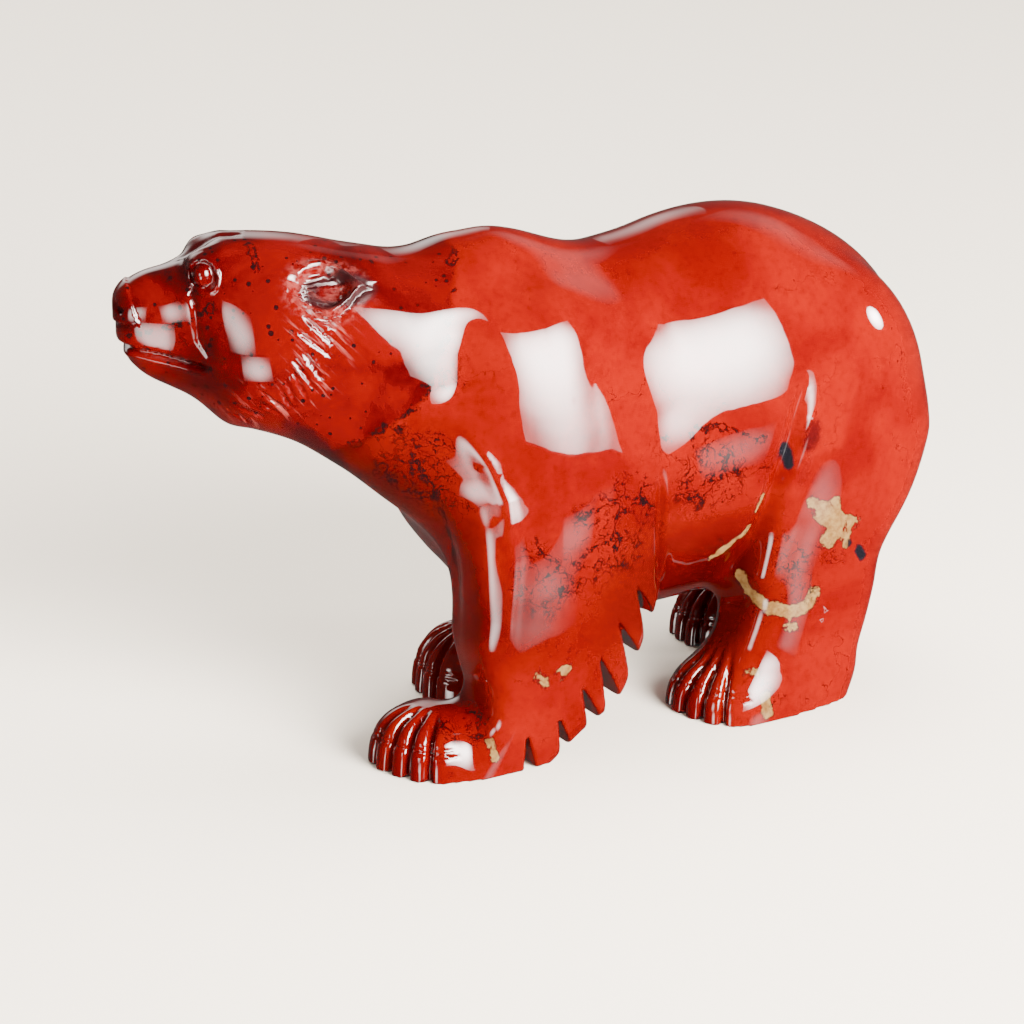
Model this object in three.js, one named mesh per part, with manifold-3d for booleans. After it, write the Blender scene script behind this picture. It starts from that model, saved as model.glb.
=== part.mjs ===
// Polar bear carved from one piece of red jasper, walking, with its head turned to its right.
// Millimetres, +Z up, nose towards -X. The bear's left side, seen first, is towards -Y.
import * as THREE from 'three';
import Module from 'manifold-3d';

const { abs, atan2, cos, exp, floor, hypot, max, min, PI, sin, sqrt } = Math;
const degree = PI / 180;

// Sizes that can be set, in millimetres and degrees
const bodyLength = 130;
const neckTurn = 24;
const toeGrooveWidth = 0.9;
const toeGrooveDepth = 1.25;
const fringeSlotWidth = 0.64;
const fringeSlotFlare = 0.13;
const fringeEdgeRound = 0.5;
const mouthWidth = 1.0;
const mouthDepth = 1.0;
const nostrilRadius = 0.6;
const earLength = 9.0;
const earHalfWidth = 5.1;
const earHollow = 1.75;
const earRim = 0.85;
const eyeSocketDepth = 0.75;
const thighGrooveDepth = 1.1;
const elbowGrooveDepth = 0.75;

// How finely the stone is faceted
const gridStep = 0.9;
const facets = 9600;
const headFacetShare = 5;
const pawFacetShare = 2.5;
const seamGap = 0.03;

// Every table below is drawn in millimetres on a bear 130 mm long, and grows with bodyLength
const scale = bodyLength / 130;
const grow = list => list.map(v => (Array.isArray(v) ? grow(v) : v * scale));

// Two shapes joined or cut with a rounded seam of width k, all as signed distances
function join(a, b, k) {
  const h = max(k - abs(a - b), 0) / k;
  return min(a, b) - h * h * k * 0.25;
}

function carve(a, b, k) {
  return -join(-a, b, k);
}

// 0 before a, 1 after b, smooth in between
function ramp(a, b, t) {
  const u = max(0, min(1, (t - a) / (b - a)));
  return u * u * (3 - 2 * u);
}

function bell(t) {
  return exp(-t * t);
}

// A rounded mass of stone: centre, three radii, and its tilt in the side view
function mass(table, tilt = 0) {
  const [cx, cy, cz, rx, ry, rz] = grow(table);
  return { cx, cy, cz, rx, ry, rz, c: cos(tilt * degree), s: sin(tilt * degree) };
}

function massDistance(x, y, z, m) {
  const dx = x - m.cx;
  const dz = z - m.cz;
  const a = (dx * m.c + dz * m.s) / m.rx;
  const b = (y - m.cy) / m.ry;
  const c = (dz * m.c - dx * m.s) / m.rz;
  const near = hypot(a, b, c);
  const slope = hypot(a / m.rx, b / m.ry, c / m.rz);
  return slope > 1e-9 ? (near * (near - 1)) / slope : -min(m.rx, m.ry, m.rz);
}

// A tapering round rod from a to b
function rodDistance(x, y, z, a, b, ra, rb) {
  const d = [b[0] - a[0], b[1] - a[1], b[2] - a[2]];
  const p = [x - a[0], y - a[1], z - a[2]];
  const along = (p[0] * d[0] + p[1] * d[1] + p[2] * d[2]) / (d[0] ** 2 + d[1] ** 2 + d[2] ** 2);
  const t = min(1, max(0, along));
  return hypot(p[0] - t * d[0], p[1] - t * d[1], p[2] - t * d[2]) - (ra + (rb - ra) * t);
}

// A smooth profile through the values vs at the stations ts
function profile(ts, vs) {
  const n = ts.length;
  const rise = i => (vs[i + 1] - vs[i]) / (ts[i + 1] - ts[i]);
  const slopes = vs.map((v, i) => {
    if (i === 0) return rise(0);
    if (i === n - 1) return rise(n - 2);
    return rise(i - 1) * rise(i) <= 0 ? 0 : (rise(i - 1) + rise(i)) / 2;
  });
  return t => {
    if (t <= ts[0]) return vs[0];
    if (t >= ts[n - 1]) return vs[n - 1];
    let i = 0;
    while (t > ts[i + 1]) i += 1;
    const h = ts[i + 1] - ts[i];
    const u = (t - ts[i]) / h;
    const v = 1 - u;
    const ends = v * v * (1 + 2 * u) * vs[i] + u * u * (3 - 2 * u) * vs[i + 1];
    return ends + u * v * h * (v * slopes[i] - u * slopes[i + 1]);
  };
}

// A rounded oblong section with half sizes hx and hy; a higher power gives squarer corners
function sectionDistance(dx, dy, hx, hy, power) {
  const q = ((abs(dx) / hx) ** power + (abs(dy) / hy) ** power) ** (1 / power);
  if (q < 1e-6) return -min(hx, hy);
  return hypot(dx, dy) * (1 - 1 / q);
}

// Distance in the side view to a bent line, and the share of its length at the nearest point
function lineDistance(x, z, points) {
  let nearest = Infinity;
  let passed = 0;
  let place = 0;
  for (let i = 0; i + 1 < points.length; i += 1) {
    const [ax, az] = points[i];
    const dx = points[i + 1][0] - ax;
    const dz = points[i + 1][1] - az;
    const length = hypot(dx, dz);
    const t = min(1, max(0, ((x - ax) * dx + (z - az) * dz) / (length * length)));
    const d = hypot(x - ax - t * dx, z - az - t * dz);
    if (d < nearest) {
      nearest = d;
      place = passed + t * length;
    }
    passed += length;
  }
  return [nearest, place / passed];
}

// The neck bends on an arc: this takes a point of the bear to the bear with a straight neck
const bendStart = -28 * scale;
const bendArc = 22 * scale;
const bendAngle = neckTurn * degree;
const bendRadius = bendArc / bendAngle;

function straighten(x, y) {
  if (x >= bendStart) return [x, y];
  const dx = bendStart - x;
  const dy = bendRadius - y;
  const angle = atan2(dx, dy);
  if (angle <= bendAngle) return [bendStart - bendRadius * angle, bendRadius - hypot(dx, dy)];
  const forward = dx * cos(bendAngle) - dy * sin(bendAngle);
  const across = dx * sin(bendAngle) + dy * cos(bendAngle);
  return [bendStart - bendArc - forward, bendRadius - across];
}

// Trunk
const rump = mass([19.6, 0, 51.2, 25.3, 21.2, 26.18]);
const croup = mass([33.1, 0, 45.8, 17, 16, 21.8]);
const belly = mass([3.8, 0, 45.1, 34, 20, 29.15]);
const chest = mass([-9.85, 0, 46.7, 18.9, 17.5, 25.9]);
const withers = mass([-25, 0, 66.25, 14.8, 11, 14.17]);
const haunches = [mass([28.1, -10.8, 45.4, 20.25, 10.8, 24.75]), mass([28.1, 10.8, 45.4, 20.25, 10.8, 24.75])];
const shoulders = [mass([-17.8, -11.4, 46.5, 17.5, 9.8, 26], 8), mass([-17.5, 11, 47, 16.5, 9.8, 24])];

// Head and neck: crest, throat and half width along the straight neck
const neckX = grow([-82.5, -80, -77, -73, -69, -65, -61, -55, -48, -42, -36, -30, -24]);
const crest = profile(neckX, grow([74.13, 75.25, 76.75, 78, 80.2, 82.27, 82.2, 81.67, 80.25, 79.1, 77.65, 76.5, 72]));
const throat = profile(neckX, grow([66.7, 64.35, 61.5, 59.3, 57.4, 54.1, 53.6, 50.63, 45.95, 40.57, 35.25, 29, 24]));
const halfWidth = profile(neckX, grow([4, 4.7, 5.6, 6.6, 8.2, 10.2, 11.4, 12.4, 13.3, 14, 15, 16, 17]));
const ruff = mass([-56.9, 0, 64.92, 12.98, 12.6, 11.6], 15);
const brow = mass([-66.6, 4.4, 78.8, 3.8, 2.8, 2.4], -8);
const eyeball = mass([-68.0, 6.3, 77.9, 1.45, 1.35, 1.7]);
const noseTip = -81 * scale;
const neckEnd = -24 * scale;
const mouthLine = grow([[-84, 66.5], [-78.9, 66.3], [-74.6, 65.6], [-70.3, 64.6], [-67.4, 64.2]]);

// Legs: front and rear edge, outer and inner face at each height
const foreZ = grow([0, 4, 8, 12, 16, 21, 26, 32, 42, 52]);
const hindZ = grow([0, 4, 8, 12, 18, 24, 32, 42]);
const foreOut = grow([-19, -19.5, -20, -20.4, -20.6, -20.7, -20.6, -20.4, -19.6, -17]);
const foreIn = grow([-7.5, -7.2, -6.8, -6.4, -6, -5.4, -4.6, -3.6, -2, -2]);
const hindOut = grow([-21.2, -21.3, -21.2, -21, -21, -21, -21, -20]);
const hindIn = grow([-6.5, -6, -5.6, -5.4, -5, -4.5, -3.8, -3]);

function makeLeg(heights, front, rear, outer, inner, side, power) {
  return {
    front: profile(heights, grow(front)),
    rear: profile(heights, grow(rear)),
    outer: profile(heights, outer.map(v => v * side)),
    inner: profile(heights, inner.map(v => v * side)),
    power,
    top: 46 * scale,
  };
}

const nearFore = makeLeg(
  foreZ,
  [-37, -35.65, -34, -33.92, -34.82, -35.6, -35.2, -35.2, -35, -31],
  [-22.45, -17.4, -11.3, -8.98, -7.25, -5.05, -3.87, -3.9, -5.2, -9],
  foreOut, foreIn, 1, 4.6,
);
const farFore = makeLeg(
  foreZ,
  [-16, -16, -16, -17, -19, -23, -27, -31, -34, -31],
  [1, 3.5, 6.5, 8, 8.5, 8, 6.5, 3, -2, -8],
  foreOut, foreIn, -1, 4.6,
);
const nearHind = makeLeg(
  hindZ,
  [10.8, 10.4, 10.2, 11.38, 13.38, 13.63, 17.5, 22],
  [32, 33.5, 34.1, 35.45, 37, 37.9, 42, 46],
  hindOut, hindIn, 1, 3.2,
);
const farHind = makeLeg(
  hindZ,
  [31, 30.5, 30.5, 31, 30, 27, 23, 22],
  [48, 49, 49, 49, 48.5, 48.5, 47.5, 47],
  hindOut, hindIn, -1, 3.2,
);

function legDistance(x, y, z, leg) {
  if (z > leg.top + 12 * scale) return 12 * scale;
  const f = leg.front(z);
  const r = leg.rear(z);
  const o = leg.outer(z);
  const i = leg.inner(z);
  const d = sectionDistance(x - (f + r) / 2, y - (o + i) / 2, (r - f) / 2, abs(i - o) / 2, leg.power);
  return carve(d, leg.top - z, 8 * scale);
}

// Paws: toe front x and y, heading from -X towards the near side, length, width, height
const paws = [
  [-46.9, -11.5, 22.1, 16.85, 18.6, 9.05], [-28.2, 16.6, -12, 19, 17, 10.68],
  [3.8, -14.8, 16, 21.6, 19.4, 8.2], [19.8, 14.6, -6, 22, 16.5, 10.6],
].map(([x, y, heading, length, width, height]) => {
  const [tx, ty, long, wide, high] = grow([x, y, length, width, height]);
  return { tx, ty, fx: -cos(heading * degree), fy: -sin(heading * degree), long, wide, high };
});

function pawDistance(x, y, z, paw) {
  const dx = x - paw.tx;
  const dy = y - paw.ty;
  const ahead = dx * paw.fx + dy * paw.fy;
  const aside = dy * paw.fx - dx * paw.fy;
  const long = paw.long / 2;
  const wide = paw.wide / 2;
  const clear = [abs(ahead + long) - long, abs(aside) - wide, z - paw.high].map(v => max(0, v));
  const far = hypot(...clear);
  if (far > 6 * scale) return far;
  const floorZ = z + 0.8 * scale;
  const plan = ((abs(ahead + long) / long) ** 2.6 + (abs(aside) / wide) ** 2.6) ** (1 / 2.6);
  const dome = (plan ** 2.6 + (abs(floorZ) / (paw.high + 0.8 * scale)) ** 2.6) ** (1 / 2.6);
  let d = dome < 1e-6 ? -wide : hypot(ahead + long, aside, floorZ) * (1 - 1 / dome);
  // Four grooves fan out between the five toes
  const fan = wide + 3 * scale;
  const spread = 0.3;
  const angle = atan2(aside, ahead + fan);
  const groove = max(-1.5, min(1.5, floor(angle / spread) + 0.5)) * spread;
  const off = abs(angle - groove) * hypot(ahead + fan, aside);
  const depth = toeGrooveDepth * bell(off / (toeGrooveWidth / 2)) + 0.3 * scale * bell(off / (1.1 * scale));
  d += ramp(-7.5 * scale, -4 * scale, ahead) * depth;
  return d;
}

// Fringe of fur behind the near foreleg: each slot from its inner end towards its mouth
const fringe = grow([
  [-11, 29.2, -8.6, 24], [-13.8, 23, -11.5, 18.4], [-16.6, 17.1, -14.6, 12],
  [-19.2, 11.9, -17.3, 7.4], [-22.9, 7, -21.6, 3], [-28.4, 5.2, -27.8, 1.2],
]);

function cutFringe(d, x, z) {
  let cut = d;
  for (const [ax, az, bx, bz] of fringe) {
    const length = hypot(bx - ax, bz - az);
    const ux = (bx - ax) / length;
    const uz = (bz - az) / length;
    const reach = (x - ax) * ux + (z - az) * uz;
    const off = abs((z - az) * ux - (x - ax) * uz);
    const slot = max(off - fringeSlotWidth / 2 - fringeSlotFlare * reach, -reach - fringeSlotWidth / 2);
    cut = carve(cut, slot, fringeEdgeRound);
  }
  return cut;
}

// Carved lines and hollows of the head, as a depth taken off the stone
function headCarving(sx, sy, z) {
  const ay = abs(sy);
  const u = v => v * scale;
  let depth = 0;
  if (sx < u(-62)) {
    const [off, place] = lineDistance(sx, z, mouthLine);
    depth += mouthDepth * bell(off / (mouthWidth / 2)) * ramp(1, 0.93, place);
    // Nose pad, the step below it, and the groove down the middle of the lip
    const padEdge = u(-79.1) + (u(75.6) - z) * 0.29;
    depth -= u(0.4) * ramp(u(0.25), u(-0.25), sx - padEdge) * ramp(u(70), u(70.5), z);
    depth += u(0.35) * bell((z - u(69.9)) / u(0.35)) * ramp(u(-78.6), u(-79.2), sx);
    const middle = ramp(u(-79.8), u(-80.4), sx) * ramp(u(66), u(67), z) * ramp(u(75), u(74), z);
    depth += u(0.45) * bell(sy / u(0.35)) * middle;
    // Eye socket, and the furrow between the brows
    const socket = hypot((sx - eyeball.cx) / u(2.6), (z - eyeball.cz) / u(2.8));
    depth += eyeSocketDepth * bell(socket) * ramp(u(3.2), u(4.6), ay);
    const between = ramp(u(-60), u(-64), sx) * ramp(u(-73), u(-70), sx) * ramp(u(76), u(79), z);
    depth += u(0.5) * bell(sy / u(1.1)) * between;
  }
  if (sx > u(-58) && sx < u(-41) && z > u(68)) {
    // Ear: a leaf laid back along the neck, with a raised rim and a hollow inside
    const leaf = (sx - u(-54.2)) / earLength;
    const across = (atan2(ay, z - u(66)) / degree - 42) * u(0.26);
    const wave = sin(PI * min(1, leaf * 1.15));
    let half = 0.59 * earHalfWidth;
    if (leaf > 0) half = leaf >= 1 ? 0.001 * earHalfWidth : earHalfWidth * (0.59 + 0.41 * wave - 0.59 * leaf ** 3);
    const inside = min(half - abs(across), (1 - leaf) * 0.61 * earLength);
    const rise = ramp(-0.1, 0.5, leaf);
    depth -= earRim * bell((inside - u(0.5)) / u(0.6)) * rise * (0.35 + 0.65 * ramp(u(-4.5), 0, across));
    depth -= u(0.35) * ramp(0, u(0.7), inside) * rise * ramp(u(-5), u(-1), across);
    depth += earHollow * ramp(u(0.8), u(2.2), inside) * ramp(-0.25, 0.15, leaf);
  }
  return depth;
}

// Carved lines of the body: thigh, elbow and the ridge down the near foreleg
const thighLine = grow([
  [19.3, 58.5], [18.4, 54.6], [17.2, 50.3], [16.0, 45.7], [14.7, 40.8],
  [13.7, 34.8], [12.9, 29.3], [11.6, 24.6], [10.4, 20.0],
]);
const elbowLine = grow([[-6.9, 47.5], [-6.7, 43], [-6.3, 38], [-5.6, 31.4], [-4.6, 25]]);
const ridgeLine = grow([
  [-38.5, 57], [-34.3, 49.7], [-32.3, 44.2], [-31.9, 35.1], [-32.5, 27.2], [-33.1, 17],
]);

function bodyCarving(x, y, z) {
  const u = v => v * scale;
  const flank = ramp(u(10), u(14), abs(y));
  if (flank === 0) return 0;
  let depth = 0;
  if (x > u(2) && x < u(30) && z > u(15)) {
    const [off, place] = lineDistance(x, z, thighLine);
    depth += thighGrooveDepth * bell(off / u(1.5)) * ramp(0, 0.25, place) * ramp(1, 0.85, place);
    const [behind] = lineDistance(x - u(3.2), z - u(0.5), thighLine);
    const fade = ramp(0.05, 0.35, place) * ramp(1, 0.9, place);
    depth -= 0.5 * thighGrooveDepth * bell(behind / u(1.9)) * fade;
  }
  if (y < 0 && x < 0 && x > u(-14) && z > u(22)) {
    const [off, place] = lineDistance(x, z, elbowLine);
    depth += elbowGrooveDepth * bell(off / u(0.8)) * ramp(0, 0.35, place) * ramp(1, 0.9, place);
  }
  if (y < 0 && x < u(-26)) {
    const [off, place] = lineDistance(x, z, ridgeLine);
    depth -= u(0.5) * bell(off / u(1.3)) * ramp(0, 0.2, place) * ramp(1, 0.8, place);
  }
  return depth * flank;
}

// The whole bear as one signed distance, with the paws running on below the ground
function bearDistance(x, y, z) {
  const u = v => v * scale;
  const [sx, sy] = straighten(x, y);
  const ay = abs(sy);
  let d = join(massDistance(sx, sy, z, rump), massDistance(sx, sy, z, belly), u(12));
  d = join(d, massDistance(sx, sy, z, chest), u(10));
  d = join(d, massDistance(sx, sy, z, withers), u(9));
  d = join(d, massDistance(x, y, z, croup), u(10));
  if (y < u(8)) {
    d = join(d, massDistance(x, y, z, haunches[0]), u(3));
    d = join(d, massDistance(x, y, z, shoulders[0]), u(6));
  }
  if (y > u(-8)) {
    d = join(d, massDistance(x, y, z, haunches[1]), u(5));
    d = join(d, massDistance(x, y, z, shoulders[1]), u(6));
  }
  if (z < u(60) && y < u(8)) {
    const fore = join(legDistance(x, y, z, nearFore), pawDistance(x, y, z, paws[0]), u(5));
    d = join(d, cutFringe(fore, x, z), u(2.5));
    const hind = join(legDistance(x, y, z, nearHind), pawDistance(x, y, z, paws[2]), u(5));
    d = join(d, hind, u(6));
  }
  if (z < u(60) && y > u(-8)) {
    const fore = join(legDistance(x, y, z, farFore), pawDistance(x, y, z, paws[1]), u(5));
    d = join(d, fore, u(5));
    const hind = join(legDistance(x, y, z, farHind), pawDistance(x, y, z, paws[3]), u(5));
    d = join(d, hind, u(6));
  }
  if (sx < u(-12)) {
    const station = max(noseTip, min(neckEnd, sx));
    const top = crest(station);
    const low = throat(station);
    let head = sectionDistance(sy, z - (top + low) / 2, halfWidth(station), (top - low) / 2, 2.3);
    head = carve(head, -max(noseTip - sx, sx - neckEnd), u(3));
    if (sx < u(-38)) head = join(head, massDistance(sx, sy, z, ruff), u(4));
    if (sx < u(-62)) {
      // The lower lip stands back under the upper one
      head = carve(head, max(sx - u(-79.7), z - u(66.3)), u(0.8));
      head = join(head, massDistance(sx, ay, z, brow), u(2));
    }
    d = join(d, head, u(7));
    if (sx < u(-40)) d += headCarving(sx, sy, z);
    if (sx < u(-62)) {
      d = join(d, massDistance(sx, ay, z, eyeball), u(0.25));
      const nostril = grow([[-81.6, 1.9, 73.2], [-79.9, 3.9, 72.0]]);
      const hole = rodDistance(sx, ay, z, nostril[0], nostril[1], nostrilRadius, 0.8 * nostrilRadius);
      d = carve(d, hole, u(0.35));
    }
  }
  d += bodyCarving(x, y, z);
  return max(d, -(z + u(1.6)));
}

function slope(x, y, z) {
  const e = 0.02 * scale;
  return [
    (bearDistance(x + e, y, z) - bearDistance(x - e, y, z)) / (2 * e),
    (bearDistance(x, y + e, z) - bearDistance(x, y - e, z)) / (2 * e),
    (bearDistance(x, y, z + e) - bearDistance(x, y, z - e)) / (2 * e),
  ];
}

// True where the corners of a cell that are in a set hang together along its sides
function together(set) {
  if (set === 0) return true;
  let group = set & -set;
  for (let pass = 0; pass < 8; pass += 1) {
    for (let c = 0; c < 8; c += 1) {
      if (group & (1 << c)) for (const bit of [1, 2, 4]) group |= set & (1 << (c ^ bit));
    }
  }
  return group === set;
}

// A wall or a gap thinner than a cell can't be told: there the doubtful corner goes with its neighbours
function settle(values, [nx, ny, nz], offsets) {
  const clear = Array.from({ length: 256 }, (_, set) => together(set) && together(255 - set));
  const row = nx + 1;
  const layer = row * (ny + 1);
  for (let pass = 0, changed = true; changed && pass < 20; pass += 1) {
    changed = false;
    for (let k = 0; k < nz; k += 1) {
      for (let j = 0; j < ny; j += 1) {
        for (let i = 0; i < nx; i += 1) {
          const first = i + j * row + k * layer;
          let set = 0;
          for (let c = 0; c < 8; c += 1) if (values[first + offsets[c]] < 0) set |= 1 << c;
          if (clear[set]) continue;
          const spots = offsets.map(offset => first + offset);
          const weakest = spots.reduce((a, b) => (abs(values[b]) < abs(values[a]) ? b : a));
          values[weakest] = values[weakest] < 0 ? 1e-3 : -1e-3;
          changed = true;
        }
      }
    }
  }
}

// Marching over a grid: one corner point in each cell that the surface crosses, then pulled onto it
function wrap(low, high, step) {
  const [nx, ny, nz] = low.map((v, i) => Math.ceil((high[i] - v) / step / 4) * 4);
  const row = nx + 1;
  const layer = row * (ny + 1);
  const values = new Float32Array(layer * (nz + 1)).fill(NaN);
  const at = (i, j, k) => bearDistance(low[0] + i * step, low[1] + j * step, low[2] + k * step);
  const blocks = [];
  for (let k = 0; k < nz; k += 4) {
    for (let j = 0; j < ny; j += 4) {
      for (let i = 0; i < nx; i += 4) blocks.push([i, j, k]);
    }
  }
  const corners = [0, 1, 2, 3, 4].flatMap(k => [0, 1, 2, 3, 4].flatMap(j => [0, 1, 2, 3, 4].map(i => [i, j, k])));
  for (const [bi, bj, bk] of blocks) {
    const middle = at(bi + 2, bj + 2, bk + 2);
    const near = abs(middle) < 6.3 * step;
    for (const [i, j, k] of corners) {
      const q = bi + i + (bj + j) * row + (bk + k) * layer;
      if (near && (Number.isNaN(values[q]) || abs(values[q]) === 1000)) values[q] = at(bi + i, bj + j, bk + k);
      if (!near && Number.isNaN(values[q])) values[q] = middle > 0 ? 1000 : -1000;
    }
  }
  const cube = [0, 1, 2, 3, 4, 5, 6, 7].map(c => [c & 1, (c >> 1) & 1, c >> 2]);
  settle(values, [nx, ny, nz], cube.map(([a, b, c]) => a + b * row + c * layer));
  const edges = [];
  for (let c = 0; c < 8; c += 1) {
    for (const bit of [1, 2, 4]) if (!(c & bit)) edges.push([c, c | bit]);
  }
  const ids = new Int32Array(nx * ny * nz).fill(-1);
  const points = [];
  const faces = [];
  const id = (i, j, k) => ids[i + nx * (j + ny * k)];
  for (let k = 0; k < nz; k += 1) {
    for (let j = 0; j < ny; j += 1) {
      for (let i = 0; i < nx; i += 1) {
        const v = cube.map(([a, b, c]) => values[i + a + (j + b) * row + (k + c) * layer]);
        const inside = v.filter(value => value < 0).length;
        if (inside === 0 || inside === 8) continue;
        const sum = [0, 0, 0];
        let count = 0;
        for (const [a, b] of edges) {
          if (v[a] < 0 === v[b] < 0) continue;
          const t = v[a] / (v[a] - v[b]);
          for (let n = 0; n < 3; n += 1) sum[n] += cube[a][n] + t * (cube[b][n] - cube[a][n]);
          count += 1;
        }
        ids[i + nx * (j + ny * k)] = points.length / 3;
        points.push(...[i, j, k].map((base, n) => low[n] + (base + sum[n] / count) * step));
      }
    }
  }
  const quad = (a, b, c, d, flip) => faces.push(...(flip ? [a, c, b, a, d, c] : [a, b, c, a, c, d]));
  for (let k = 1; k < nz; k += 1) {
    for (let j = 1; j < ny; j += 1) {
      for (let i = 1; i < nx; i += 1) {
        const q = i + j * row + k * layer;
        const out = values[q] >= 0;
        const cell = (a, b, c) => id(i - a, j - b, k - c);
        if (out !== values[q + 1] >= 0) quad(cell(0, 1, 1), cell(0, 0, 1), cell(0, 0, 0), cell(0, 1, 0), out);
        if (out !== values[q + row] >= 0) quad(cell(1, 0, 1), cell(1, 0, 0), cell(0, 0, 0), cell(0, 0, 1), out);
        if (out !== values[q + layer] >= 0) quad(cell(1, 1, 0), cell(0, 1, 0), cell(0, 0, 0), cell(1, 0, 0), out);
      }
    }
  }
  for (let v = 0; v < points.length; v += 3) {
    for (let pass = 0; pass < 2; pass += 1) {
      const [x, y, z] = points.slice(v, v + 3);
      const g = slope(x, y, z);
      const steep = g[0] ** 2 + g[1] ** 2 + g[2] ** 2;
      if (steep < 1e-4) break;
      let move = -bearDistance(x, y, z) / steep;
      const far = abs(move) * sqrt(steep);
      if (far > step / 2) move *= step / 2 / far;
      for (let n = 0; n < 3; n += 1) points[v + n] += move * g[n];
    }
  }
  return [Float64Array.from(points), Int32Array.from(faces)];
}

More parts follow.
